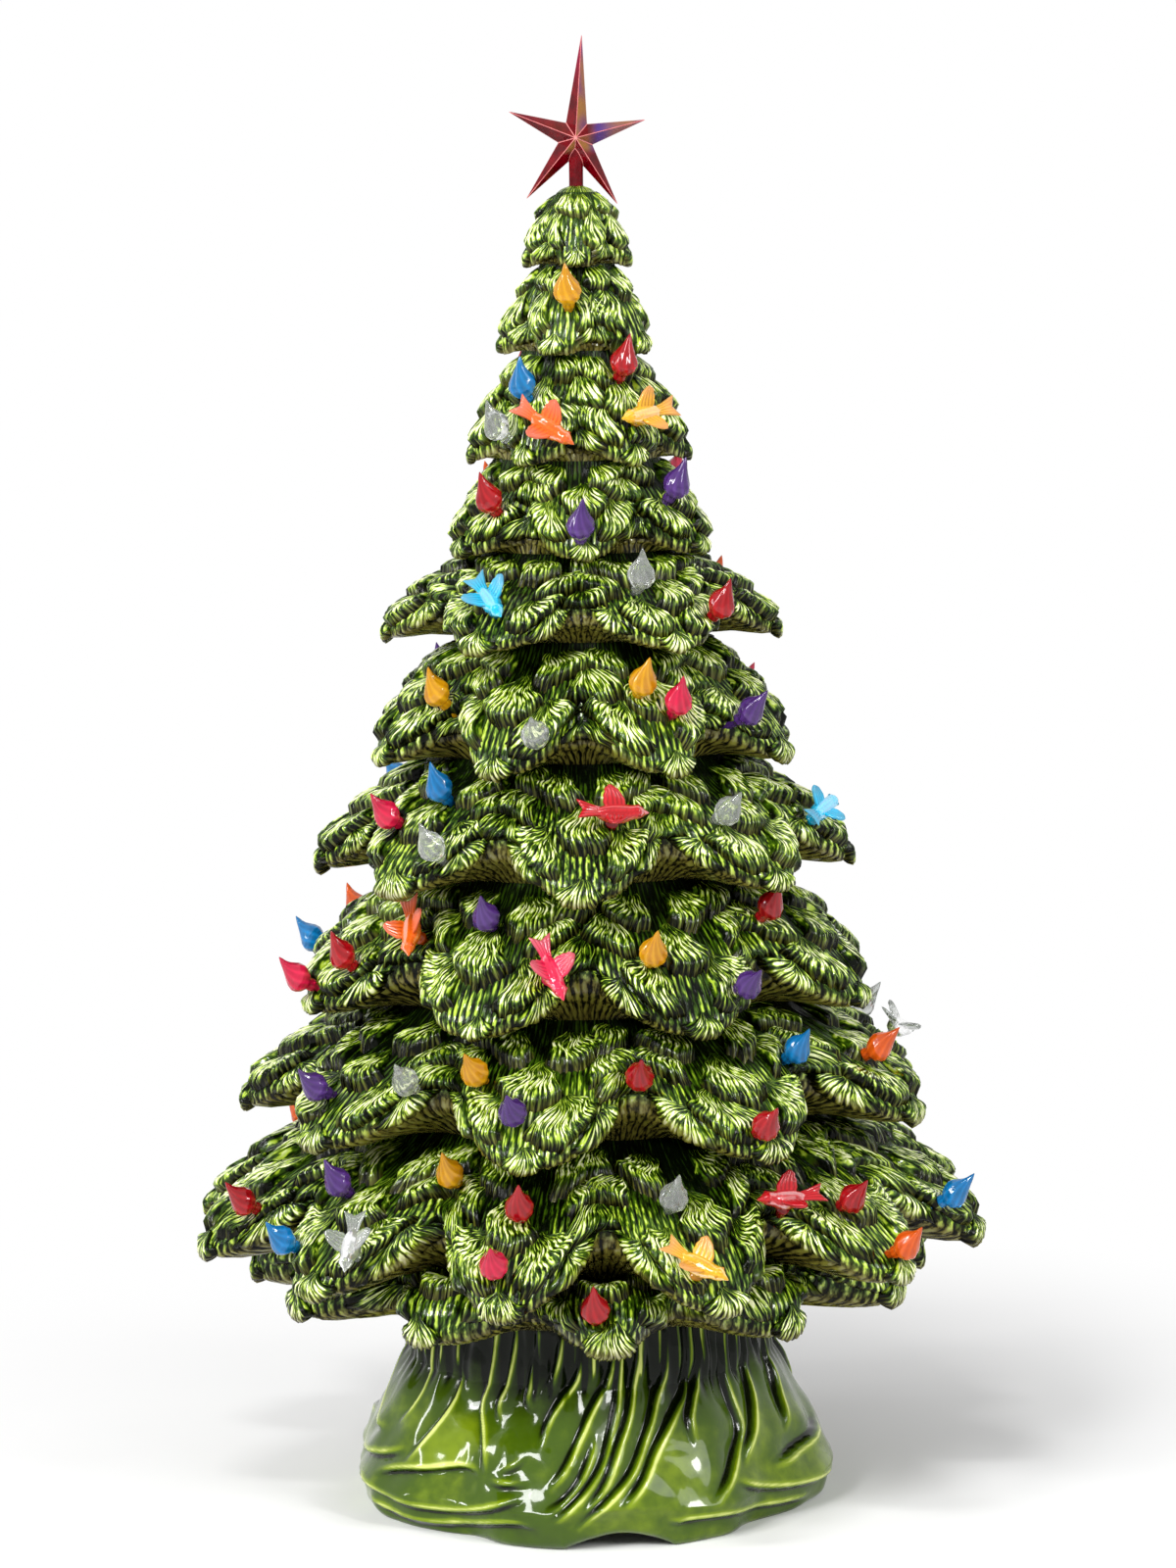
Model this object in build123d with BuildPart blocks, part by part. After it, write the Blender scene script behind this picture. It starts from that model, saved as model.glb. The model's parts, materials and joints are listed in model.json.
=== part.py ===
# Ceramic Christmas tree on a draped base, lit from inside, with plug-in coloured lights, birds and a star.
# Millimetres. +Z is up, and the origin is on the table under the tree's axis. The front faces -Y.
# An azimuth is in degrees, counted from +X towards +Y, so the middle of the front is at 270.
import os
from math import cos, radians, sin
from typing import NamedTuple

from build123d import *

os.makedirs("parts", exist_ok=True)


class Tier(NamedTuple):
    tip_height: float
    reach: float
    branches: int
    turn: float


class Light(NamedTuple):
    colour: str
    tier: int
    azimuth: float
    share: float
    lift: float


class Bird(NamedTuple):
    name: str
    tier: int
    azimuth: float
    share: float
    heading: float


# Tree: the tiers of branches from the crown down, with the height of the tips over the seat, their reach
# from the axis, the number of branches and the azimuth of the first one
TIERS = [
    Tier(tip_height=433, reach=23, branches=4, turn=0),
    Tier(tip_height=398, reach=34, branches=5, turn=180),
    Tier(tip_height=354, reach=47, branches=6, turn=0),
    Tier(tip_height=317, reach=59, branches=6, turn=30),
    Tier(tip_height=282, reach=84, branches=6, turn=0),
    Tier(tip_height=234, reach=93, branches=8, turn=22.5),
    Tier(tip_height=187, reach=114, branches=8, turn=0),
    Tier(tip_height=134, reach=125, branches=8, turn=22.5),
    Tier(tip_height=87, reach=147, branches=9, turn=180),
    Tier(tip_height=34, reach=169, branches=12, turn=18),
    Tier(tip_height=15, reach=144, branches=12, turn=3),
]
seat_height = 88.0  # where the tree stands on its base
crown_rise = 458.0  # from the seat to the crown
crown_radius = 11.0
waist_radius_low = 112.0  # between two tiers, if it were as low as the seat
waist_radius_high = 14.5  # between two tiers, as high as the top tips
wall = 6.0
tip_wall = 13.0  # the branch ends are cast nearly full
notch = 0.2  # how far the outline draws in between two branches, as a share of the reach
valley_lift = 0.14  # how far the edge rises between two branches, as a share of the reach
valley_limit = 0.45  # the most it rises, as a share of the tier's drop
edge_low = 14.0  # thickness of the branch ends in the lowest tier
edge_high = 8.0  # the same in the top tier
shoulder_out = 0.6  # where a branch bends down, as a share of the way out
shoulder_down = 0.47  # and of the way down
rim_width = 18.0
rim_clearance = 1.5  # round the collar of the base
arcs = 5  # each ring round the tree is made of this many edges
points_per_arc = 18

# Pegs and the holes for them
peg_radius = 2.0
peg_length = 9.0
peg_clearance = 0.45
hole_end_room = 5.0
collar_step = 0.7  # how far a collar or a neck stands out from its peg
spot_margin = 0.6  # radial room for a collar in its spot face
spot_height = 7.0
seat_sink = 0.8  # how deep a spot face goes into the branch's back
most_lean = 24.0  # of a light, away from square to the back

# Flame lights
neck_length = 2.6
flame_radius = 5.9
flame_length = 15.4
flame_belly = 0.36  # the height of the widest place, as a share of the flame

# Birds
bird_collar_height = 1.2
bird_belly_gap = 2.7  # from the seat to the body
bird_body_front = 7.6
bird_body_back = 8.6
bird_body_radius = 3.9
bird_head_radius = 3.1
bird_head_out = 7.4
bird_head_up = 1.9
bird_beak_length = 3.0
bird_tail_reach = 15.8
bird_tail_half_width = 4.6
bird_tail_thickness = 1.7
bird_tail_rise = 10.0
bird_wing_reach = 11.0
bird_wing_root = 4.4
bird_wing_thickness = 1.5
bird_wing_rise = 32.0

# Star
star_rise = 22.0  # from the crown to the middle of the star
star_top_reach = 43.5
star_side_reach = 30.5
star_low_reach = 33.0
star_inner_radius = 7.5
star_half_depth = 6.5
star_stem_radius = 2.9
star_stem_depth = 18.0
star_stem_clearance = 0.45
star_lean = -4.0  # turned a little clockwise, seen from the front

# Base: a skirt of draped cloth with a deck that carries the tree and the socket
foot_radius = 95.0
bulge_radius = 100.5
bulge_height = 16.0
ledge_width = 9.0  # of the rim that rests on the deck
waist_flare = 2.0  # how far the waist stands out from the top
waist_height = 62.0
fold_depth = 4.5  # of the draped folds, at the hem
fold_depth_top = 1.0
base_wall = 6.0
deck_thickness = 6.0
collar_radius = 64.5
collar_wall = 5.0
collar_height = 8.0
hem_arch_azimuths = [277, 157, 37]
hem_arch_width = 46.0
hem_arch_rise = 7.0
cord_hole_radius = 4.8
cord_hole_height = 15.0
cord_hole_azimuth = 90.0

# Lamp socket, clipped into the deck from above
socket_wall = 3.4
socket_hole_clearance = 0.6
socket_flange_width = 3.9
socket_flange_thickness = 3.0
socket_depth = 27.0  # below the top of the deck
socket_floor = 5.0
shell_clearance = 0.6  # round the screw shell in the socket
shell_thickness = 0.6
shell_height = 17.0
thread_room = 1.0  # between the bulb's cap and the screw shell
centre_contact_radius = 2.6
centre_contact_height = 1.2
clip_width = 7.0
clip_thickness = 0.8
clip_reach = 5.0
clip_gap = 0.2

# Bulb, a small screw lamp
bulb_cap_radius = 6.0
bulb_cap_thickness = 0.5
bulb_cap_height = 13.0
insulator_height = 2.4
contact_radius = 2.4
contact_height = 1.4
glass_radius = 10.5
glass_length = 38.0
glass_belly = 0.4  # the height of the widest place, as a share of the length
glass_neck_clearance = 0.3  # inside the cap
glass_wall = 0.8
stem_radius = 2.6
stem_height = 14.0
lead_radius = 0.4
lead_root = 0.8  # from the axis, where a lead leaves the stem
lead_spread = 4.6
lead_height = 23.0
filament_coil_radius = 0.55

# The lights on the front: colour, tier, azimuth, share of the way from the tier's root to its end, and
# how far the light leans up from the level
FRONT_LIGHTS = [
    Light("yellow", 1, 262, 0.55, 60),
    Light("red", 2, 302, 0.28, 58),
    Light("blue", 2, 236, 0.50, 58),
    Light("clear", 2, 226, 0.92, 52),
    Light("red", 3, 226, 0.70, 52),
    Light("purple", 3, 319, 0.52, 50),
    Light("purple", 3, 270, 0.92, 50),
    Light("clear", 4, 291, 0.45, 48),
    Light("red", 4, 314, 0.92, 42),
    Light("yellow", 5, 288, 0.46, 40),
    Light("yellow", 5, 220, 0.78, 45),
    Light("pink", 5, 297, 0.64, 42),
    Light("purple", 5, 323, 0.92, 28),
    Light("clear", 5, 258, 0.92, 22),
    Light("blue", 6, 228, 0.34, 45),
    Light("pink", 6, 218, 0.60, 30),
    Light("clear", 6, 306, 0.56, 25),
    Light("clear", 6, 236, 0.92, 38),
    Light("purple", 7, 246, 0.32, 35),
    Light("red", 7, 321, 0.50, 40),
    Light("red", 7, 212, 0.80, 42),
    Light("yellow", 7, 284, 0.62, 35),
    Light("purple", 7, 302, 0.90, 12),
    Light("pink", 7, 203, 0.93, 28),
    Light("blue", 8, 316, 0.70, 32),
    Light("yellow", 8, 249, 0.58, 25),
    Light("purple", 8, 218, 0.72, 20),
    Light("clear", 8, 235, 0.90, 18),
    Light("red", 8, 280, 0.88, 22),
    Light("purple", 8, 258, 0.74, 12),
    Light("orange", 8, 337, 0.56, 8),
    Light("red", 8, 298, 0.92, 10),
    Light("clear", 9, 284, 0.45, 20),
    Light("purple", 9, 224, 0.46, 20),
    Light("red", 9, 205, 0.82, 22),
    Light("yellow", 9, 244, 0.52, 35),
    Light("red", 9, 259, 0.48, 12),
    Light("red", 9, 315, 0.58, 15),
    Light("blue", 9, 341, 0.90, 20),
    Light("blue", 9, 222, 0.92, 12),
    Light("pink", 9, 257, 0.82, 12),
    Light("red", 10, 271, 0.74, 15),
    Light("orange", 9, 318, 0.92, 8),
]

# The birds on the front: name, tier, azimuth, share of the way out, and heading of the beak, where 0 is
# downhill and 90 is to the right
FRONT_BIRDS = [
    Bird("yellow_crown", 2, 304, 0.72, 280),
    Bird("orange_crown", 2, 252, 0.84, 60),
    Bird("blue_upper", 4, 242, 0.70, 45),
    Bird("red_middle", 6, 277, 0.52, 90),
    Bird("blue_right", 6, 346, 0.88, 90),
    Bird("orange_left", 7, 225, 0.75, 30),
    Bird("pink_front", 7, 262, 0.90, 25),
    Bird("clear_right", 8, 14, 0.78, 45),
    Bird("clear_left", 9, 234, 0.90, 20),
    Bird("yellow_low", 9, 285, 0.88, 45),
    Bird("red_low", 9, 305, 0.92, 260),
]

# Sizes that follow from the ones above
crown_height = seat_height + crown_rise
rim_inner_radius = collar_radius + rim_clearance
rim_outer_radius = rim_inner_radius + rim_width
base_top_radius = rim_inner_radius + ledge_width
waist_radius = base_top_radius + waist_flare
hole_depth = peg_length + hole_end_room
neck_radius = peg_radius + collar_step
bird_lift = bird_body_radius + bird_belly_gap
star_centre_height = crown_height + star_rise
shell_radius = bulb_cap_radius + thread_room
socket_bore_radius = shell_radius + shell_thickness + shell_clearance
socket_radius = socket_bore_radius + socket_wall
socket_flange_radius = socket_radius + socket_flange_width
glass_neck_radius = bulb_cap_radius - bulb_cap_thickness - glass_neck_clearance

colours = ["red", "pink", "yellow", "orange", "blue", "purple", "clear"]
colour_step = 3  # the back repeats the front's layout with each colour moved on by this many
mirror_limit = 0.35  # places nearer the sides than this, as a sine, are not repeated on the back


def waist_radius_at(height):
    share = (height - seat_height) / TIERS[0].tip_height
    return waist_radius_low + (waist_radius_high - waist_radius_low) * share


def edge_thickness(number):
    return edge_high + (edge_low - edge_high) * number / (len(TIERS) - 1)


def root(number):
    """Radius and height of the ring that a tier grows from."""
    if number == 0:
        return crown_radius, crown_height
    height = seat_height + TIERS[number - 1].tip_height - edge_thickness(number - 1) / 2
    return waist_radius_at(height), height


def brim(number, azimuth):
    """Radius and height of the upper edge of the branch ends."""
    tier = TIERS[number]
    phase = radians((azimuth - tier.turn) * tier.branches)
    valley = ((1 - cos(phase)) / 2) ** 1.5
    tip_height = seat_height + tier.tip_height
    drop = root(number)[1] - tip_height
    lift = min(valley_lift * tier.reach, valley_limit * drop)
    return tier.reach * (1 - notch * valley), tip_height + lift * valley


def shoulder(number, azimuth):
    """Radius and height of the bend in a branch's back."""
    root_radius, root_height = root(number)
    brim_radius, brim_height = brim(number, azimuth)
    radius = root_radius + shoulder_out * (brim_radius - root_radius)
    return radius, root_height - shoulder_down * (root_height - brim_height)


def under(number, azimuth):
    """Radius and height of the lower edge of the branch ends."""
    radius, height = brim(number, azimuth)
    return radius - edge_thickness(number) / 4, height - edge_thickness(number)


def polar(radius, azimuth, height):
    return Vector(radius * cos(radians(azimuth)), radius * sin(radians(azimuth)), height)


def ring(radius_and_height):
    """A closed wire round the axis, where radius_and_height gives both for an azimuth."""
    count = arcs * points_per_arc
    points = [polar(r, a, z) for a in [360 * i / count for i in range(count)] for r, z in [radius_and_height(a)]]
    loop = Edge.make_spline(points, periodic=True, parameters=[i / count for i in range(count + 1)])
    return Wire([loop.trim(i / arcs, (i + 1) / arcs) for i in range(arcs)])


def level_ring(radius, height):
    return ring(lambda azimuth: (radius, height))


def inset_ring(place, number, inward, upward):
    def moved(azimuth):
        radius, height = place(number, azimuth)
        return radius - inward, height + upward

    return ring(moved)


def tier_rings(number, inset, tip_inset):
    """The rings of a tier from its root to the next one, outside or inside the wall."""
    top_radius, top_height = root(number)
    if number == 0:
        top_height -= inset
    if number == len(TIERS) - 1:
        foot_ring = level_ring(rim_inner_radius if inset else rim_outer_radius, seat_height)
    else:
        next_radius, next_height = root(number + 1)
        foot_ring = level_ring(next_radius - inset, next_height)
    return [
        level_ring(top_radius - inset, top_height),
        inset_ring(shoulder, number, 1.1 * inset, -inset),
        inset_ring(brim, number, tip_inset, 0.7 * inset),
        inset_ring(under, number, tip_inset, 1.2 * inset),
        foot_ring,
    ]


def curved_sides(rings):
    loft_faces = Solid.make_loft(rings, ruled=True).faces()
    return [face for face in loft_faces if face.geom_type != GeomType.PLANE]


def tier_casting(number):
    """The wall of one tier: closed at the crown, and a ring with flat ends below it."""
    outside = tier_rings(number, 0, 0)
    inside = tier_rings(number, wall, tip_wall)
    if number == 0:
        return Solid.make_loft(outside + inside[::-1], ruled=True)
    ends = [Face(outside[i], [inside[i]]) for i in (0, -1)]
    return Solid(Shell(curved_sides(outside) + curved_sides(inside) + ends))


def seat_plane(tier, azimuth, share, lift=None):
    """A plane on a branch's back. Its Z leans up from the level by lift, or is square to the back."""

    def place(turn, way):
        start, bend, end = root(tier), shoulder(tier, turn), brim(tier, turn)
        first, last, part = (start, bend, 2 * way) if way < 0.5 else (bend, end, 2 * way - 1)
        return polar(first[0] + (last[0] - first[0]) * part, turn, first[1] + (last[1] - first[1]) * part)

    point = place(azimuth, share)
    downhill = (place(azimuth, share + 0.01) - place(azimuth, share - 0.01)).normalized()
    along = (place(azimuth + 1, share) - place(azimuth - 1, share)).normalized()
    outward = downhill.cross(along).normalized()
    if lift is not None:
        wanted = polar(cos(radians(lift)), azimuth, sin(radians(lift)))
        lean = min(1, most_lean / max(outward.get_angle(wanted), 0.01))
        outward = (outward + (wanted - outward) * lean).normalized()
    return Plane(origin=point - outward * seat_sink, x_dir=downhill, z_dir=outward)


def next_colour(colour):
    return colours[(colours.index(colour) + colour_step) % len(colours)]


def goes_on_back(azimuth):
    return sin(radians(azimuth)) < -mirror_limit


LIGHTS = list(FRONT_LIGHTS)
for light in FRONT_LIGHTS:
    if goes_on_back(light.azimuth):
        LIGHTS.append(light._replace(azimuth=360 - light.azimuth, colour=next_colour(light.colour)))
BIRDS = list(FRONT_BIRDS)
for bird in FRONT_BIRDS:
    if goes_on_back(bird.azimuth):
        BIRDS.append(bird._replace(azimuth=360 - bird.azimuth, name="back_" + bird.name))
light_planes = [seat_plane(light.tier, light.azimuth, light.share, light.lift) for light in LIGHTS]
bird_planes = [seat_plane(bird.tier, bird.azimuth, bird.share) for bird in BIRDS]

# Tree: one thin casting, open below, made tier by tier
for number in range(len(TIERS)):
    with BuildPart() as tree_tier:
        add(tier_casting(number))
        seats = [plane for plane, light in zip(light_planes, LIGHTS) if light.tier == number]
        seats += [plane for plane, bird in zip(bird_planes, BIRDS) if bird.tier == number]
        if seats:
            with Locations(*[plane.offset(spot_height) for plane in seats]):
                CounterBoreHole(
                    radius=peg_radius + peg_clearance,
                    counter_bore_radius=neck_radius + spot_margin,
                    counter_bore_depth=spot_height,
                    depth=spot_height + hole_depth,
                )
        if number == 0:
            with Locations((0, 0, crown_height)):
                Hole(star_stem_radius + star_stem_clearance, depth=star_stem_depth + wall)
    tree_tier.part.label = f"tree_tier_{number + 1:02d}"
    export_step(tree_tier.part, f"parts/tree_tier_{number + 1:02d}.step")

# Flame light, a peg with a neck and a pointed flame
with BuildPart() as flame:
    with BuildSketch(Plane.XZ):
        with BuildLine():
            belly = neck_length + flame_belly * flame_length
            tip = neck_length + flame_length
            Polyline((0, tip), (0, -peg_length), (peg_radius, -peg_length), (peg_radius, 0), (neck_radius, 0),
                     (neck_radius, neck_length))
            Spline((neck_radius, neck_length), (flame_radius, belly), tangents=((1, 0.5), (0, 1)))
            Spline((flame_radius, belly), (0, tip), tangents=((0, 1), (-0.4, 1)))
        make_face()
    revolve(axis=Axis.Z)

for colour in colours:
    with BuildPart() as lights:
        with Locations(*[plane for plane, light in zip(light_planes, LIGHTS) if light.colour == colour]):
            add(flame.part)
    lights.part.label = "lights_" + colour
    export_step(lights.part, "parts/lights_" + colour + ".step")

# Bird with raised wings and a forked tail, on a peg
body_axis = Plane(origin=(0, 0, bird_lift), z_dir=(0, -1, 0), x_dir=(1, 0, 0))
with BuildPart() as bird_shape:
    Cylinder(peg_radius, peg_length, align=(Align.CENTER, Align.CENTER, Align.MAX))
    Cylinder(neck_radius, bird_collar_height, align=(Align.CENTER, Align.CENTER, Align.MIN))
    Cylinder(peg_radius, bird_lift, align=(Align.CENTER, Align.CENTER, Align.MIN))
    with BuildSketch(body_axis):
        with BuildLine():
            Spline((-bird_body_back, 0), (0.5, bird_body_radius), (bird_body_front, 0), tangents=((0.5, 1), (0, -1)))
            Line((bird_body_front, 0), (-bird_body_back, 0))
        make_face()
    revolve(axis=Axis((0, 0, bird_lift), (1, 0, 0)))
    with Locations((bird_head_out, 0, bird_lift + bird_head_up)):
        Sphere(bird_head_radius)
    with Locations(Plane(origin=(bird_head_out + 0.8 * bird_head_radius, 0, bird_lift + bird_head_up), z_dir=(1, 0, -0.1))):
        Cone(0.5 * bird_head_radius, 0.2, bird_beak_length + 0.2 * bird_head_radius,
             align=(Align.CENTER, Align.CENTER, Align.MIN))
    with BuildSketch(Plane.XY.offset(bird_lift).rotated((0, bird_tail_rise, 0))) as tail_outline:
        with BuildLine():
            Polyline((-0.5 * bird_body_back, -1.9), (-bird_tail_reach, -bird_tail_half_width),
                     (-bird_tail_reach + 2.4, 0), (-bird_tail_reach, bird_tail_half_width),
                     (-0.5 * bird_body_back, 1.9), close=True)
        make_face()
    extrude(amount=bird_tail_thickness / 2, both=True)
    for side in (1, -1):
        with BuildSketch(Plane.XY.offset(bird_lift + 0.8).rotated((side * bird_wing_rise, 0, 0))):
            with BuildLine():
                Spline((bird_wing_root, side * 1.5), (bird_wing_root - 0.8, side * 0.6 * bird_wing_reach),
                       (-0.6 * bird_wing_root, side * bird_wing_reach))
                Spline((-0.6 * bird_wing_root, side * bird_wing_reach), (-bird_wing_root, side * 0.55 * bird_wing_reach),
                       (-bird_wing_root, side * 1.5))
                Line((-bird_wing_root, side * 1.5), (bird_wing_root, side * 1.5))
            make_face()
        extrude(amount=bird_wing_thickness / 2, both=True)

for bird, plane in zip(BIRDS, bird_planes):
    with BuildPart() as placed_bird:
        with Locations(plane.location * Rotation(0, 0, bird.heading)):
            add(bird_shape.part)
    placed_bird.part.label = "bird_" + bird.name
    export_step(placed_bird.part, "parts/bird_" + bird.name + ".step")

# Star, faceted on both sides, with a stem for the hole in the crown
star_reaches = [star_top_reach, star_side_reach, star_low_reach, star_low_reach, star_side_reach]
star_upright = Plane(origin=(0, 0, star_centre_height), x_dir=(1, 0, 0), z_dir=(0, -1, 0))
star_plane = Plane(star_upright.location * Rotation(0, 0, star_lean))
with BuildPart() as star:
    with BuildSketch(star_plane) as star_outline:
        with BuildLine():
            corners = []
            for i in range(len(star_reaches)):
                reach = star_reaches[i]
                corners.append((-reach * sin(radians(72 * i)), reach * cos(radians(72 * i))))
                corners.append((-star_inner_radius * sin(radians(72 * i + 36)),
                                star_inner_radius * cos(radians(72 * i + 36))))
            Polyline(*corners, close=True)
        make_face()
    for depth in (star_half_depth, -star_half_depth):
        loft([star_outline.sketch.face(), Vertex(*star_plane.from_local_coords((0, 0, depth)))])
    with Locations((0, 0, crown_height - star_stem_depth)):
        Cylinder(star_stem_radius, star_centre_height - 2 - crown_height + star_stem_depth,
                 align=(Align.CENTER, Align.CENTER, Align.MIN))
star.part.label = "star"
export_step(star.part, "parts/star.step")


def base_fold(azimuth):
    """The drape's outline round the base: broad folds with narrower ones between them."""
    turn = radians(azimuth)
    return 0.55 * cos(5 * turn + 0.9) + 0.3 * cos(8 * turn + 2.1) + 0.15 * cos(13 * turn)


def base_ring(radius, height, depth):
    return ring(lambda azimuth: (radius + depth * base_fold(azimuth), height))


def base_rings(inset):
    half = (fold_depth + fold_depth_top) / 2
    return [
        base_ring(base_top_radius - inset, seat_height, 0),
        base_ring(waist_radius - inset, waist_height, fold_depth_top),
        base_ring((waist_radius + bulge_radius) / 2 + 1.5 - inset, 0.62 * waist_height, half),
        base_ring(bulge_radius - inset, bulge_height, fold_depth),
        base_ring(foot_radius - inset, 0, fold_depth),
    ]


# Base: draped skirt, open below, with a deck, a collar for the tree, and a hole for the cord
with BuildPart() as base_skirt:
    add(Solid.make_loft(base_rings(0)))
    hollow = Solid.make_loft(base_rings(base_wall))
    with BuildPart(mode=Mode.PRIVATE) as inner_room:
        add(hollow)
        split(bisect_by=Plane.XY.offset(seat_height - deck_thickness), keep=Keep.BOTTOM)
    add(inner_room.part, mode=Mode.SUBTRACT)
    with Locations((0, 0, seat_height)):
        Cylinder(collar_radius, collar_height, align=(Align.CENTER, Align.CENTER, Align.MIN))
        Cylinder(collar_radius - collar_wall, collar_height, align=(Align.CENTER, Align.CENTER, Align.MIN),
                 mode=Mode.SUBTRACT)
        Hole(socket_radius + socket_hole_clearance, depth=2 * deck_thickness)
    for azimuth in hem_arch_azimuths:
        with BuildSketch(Plane(origin=(0, 0, 0), x_dir=polar(1, azimuth + 90, 0), z_dir=polar(1, azimuth, 0))):
            with BuildLine():
                ThreePointArc((-hem_arch_width / 2, 0), (0, hem_arch_rise), (hem_arch_width / 2, 0))
                Line((hem_arch_width / 2, 0), (-hem_arch_width / 2, 0))
            make_face()
        extrude(amount=2 * foot_radius, mode=Mode.SUBTRACT)
    with Locations(Plane(origin=polar(foot_radius + 20, cord_hole_azimuth, cord_hole_height),
                         z_dir=polar(1, cord_hole_azimuth, 0))):
        Hole(cord_hole_radius, depth=60)
base_skirt.part.label = "base_skirt"
export_step(base_skirt.part, "parts/base_skirt.step")

# Socket body with a flange that rests on the deck
with BuildPart() as socket_body:
    with Locations((0, 0, seat_height)):
        Cylinder(socket_flange_radius, socket_flange_thickness, align=(Align.CENTER, Align.CENTER, Align.MIN))
        Cylinder(socket_radius, socket_depth, align=(Align.CENTER, Align.CENTER, Align.MAX))
    socket_bore_depth = socket_depth + socket_flange_thickness - socket_floor
    with Locations((0, 0, seat_height + socket_flange_thickness)):
        Hole(socket_bore_radius, depth=socket_bore_depth)
socket_body.part.label = "socket_body"
export_step(socket_body.part, "parts/socket_body.step")

socket_floor_height = seat_height - socket_depth + socket_floor

# Screw shell, a metal cup without a floor, standing on the socket's floor
with BuildPart() as socket_screw_shell:
    with Locations((0, 0, socket_floor_height)):
        Cylinder(shell_radius + shell_thickness, shell_height, align=(Align.CENTER, Align.CENTER, Align.MIN))
        Cylinder(shell_radius, shell_height, align=(Align.CENTER, Align.CENTER, Align.MIN), mode=Mode.SUBTRACT)
socket_screw_shell.part.label = "socket_screw_shell"
export_step(socket_screw_shell.part, "parts/socket_screw_shell.step")

with BuildPart() as socket_centre_contact:
    with Locations((0, 0, socket_floor_height)):
        Cylinder(centre_contact_radius, centre_contact_height, align=(Align.CENTER, Align.CENTER, Align.MIN))
socket_centre_contact.part.label = "socket_centre_contact"
export_step(socket_centre_contact.part, "parts/socket_centre_contact.step")

# Spring clips, one on each side of the socket, that bear up under the deck
deck_underside = seat_height - deck_thickness
with BuildPart() as socket_spring_clips:
    for side in (1, -1):
        with BuildSketch(Plane.XZ):
            with BuildLine():
                clip_top = deck_underside - clip_gap
                clip_foot = seat_height - socket_depth + 2
                inner = side * socket_radius
                outer = side * (socket_radius + clip_reach)
                Polyline((inner, clip_foot), (inner + side * clip_thickness, clip_foot),
                         (inner + side * clip_thickness, clip_foot + 5), (outer, clip_top - 3), (outer, clip_top),
                         (outer - side * clip_thickness, clip_top), (outer - side * clip_thickness, clip_top - 2.6),
                         (inner, clip_foot + 6), close=True)
            make_face()
        extrude(amount=clip_width / 2, both=True)
socket_spring_clips.part.label = "socket_spring_clips"
export_step(socket_spring_clips.part, "parts/socket_spring_clips.step")

# Bulb, screwed down until its contact meets the one in the socket
contact_bottom = socket_floor_height + centre_contact_height
insulator_bottom = contact_bottom + contact_height
cap_bottom = insulator_bottom + insulator_height
cap_top = cap_bottom + bulb_cap_height

with BuildPart() as bulb_contact:
    with Locations((0, 0, contact_bottom)):
        Cylinder(contact_radius, contact_height, align=(Align.CENTER, Align.CENTER, Align.MIN))
    chamfer(bulb_contact.edges().group_by(Axis.Z)[0], 0.4)
bulb_contact.part.label = "bulb_contact"
export_step(bulb_contact.part, "parts/bulb_contact.step")

with BuildPart() as bulb_insulator:
    with Locations((0, 0, insulator_bottom)):
        Cone(contact_radius + 0.8, bulb_cap_radius - bulb_cap_thickness, insulator_height,
             align=(Align.CENTER, Align.CENTER, Align.MIN))
bulb_insulator.part.label = "bulb_insulator"
export_step(bulb_insulator.part, "parts/bulb_insulator.step")

with BuildPart() as bulb_cap:
    with Locations((0, 0, cap_bottom)):
        Cylinder(bulb_cap_radius, bulb_cap_height, align=(Align.CENTER, Align.CENTER, Align.MIN))
        Cylinder(bulb_cap_radius - bulb_cap_thickness, bulb_cap_height,
                 align=(Align.CENTER, Align.CENTER, Align.MIN), mode=Mode.SUBTRACT)
bulb_cap.part.label = "bulb_cap"
export_step(bulb_cap.part, "parts/bulb_cap.step")


def envelope(inset):
    """The outline of the bulb's glass, from its neck in the cap to the tip."""
    with BuildSketch(Plane.XZ, mode=Mode.PRIVATE) as outline:
        with BuildLine():
            low = cap_top - 3
            high = cap_top + glass_length - inset
            neck = glass_neck_radius - inset
            Polyline((0, high), (0, low), (neck, low), (neck, cap_top))
            belly_height = cap_top + glass_belly * glass_length
            Spline((neck, cap_top), (glass_radius - inset, belly_height), tangents=((0.2, 1), (0, 1)))
            Spline((glass_radius - inset, belly_height), (0, high), tangents=((0, 1), (-1, 0)))
        make_face()
    return outline.sketch


with BuildPart() as bulb_glass:
    revolve(envelope(0), axis=Axis.Z)
    revolve(envelope(glass_wall), axis=Axis.Z, mode=Mode.SUBTRACT)
bulb_glass.part.label = "bulb_glass"
export_step(bulb_glass.part, "parts/bulb_glass.step")

# Glass stem, lead wires and filament inside the bulb
with BuildPart() as bulb_stem:
    with Locations((0, 0, cap_top - 3)):
        Cone(stem_radius + 1.2, stem_radius - 0.8, stem_height, align=(Align.CENTER, Align.CENTER, Align.MIN))
bulb_stem.part.label = "bulb_stem"
export_step(bulb_stem.part, "parts/bulb_stem.step")

lead_start = cap_top - 3 + stem_height
lead_end = cap_top + lead_height
with BuildPart() as bulb_lead_wires:
    for side in (1, -1):
        with BuildLine():
            lead = Polyline((side * lead_root, 0, lead_start), (side * lead_root, 0, lead_start + 2),
                            (side * lead_spread, 0, lead_start + 6), (side * lead_spread, 0, lead_end))
        with BuildSketch(Plane(origin=lead @ 0, z_dir=lead % 0)):
            Circle(lead_radius)
        sweep(path=lead, transition=Transition.ROUND)
bulb_lead_wires.part.label = "bulb_lead_wires"
export_step(bulb_lead_wires.part, "parts/bulb_lead_wires.step")

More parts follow.
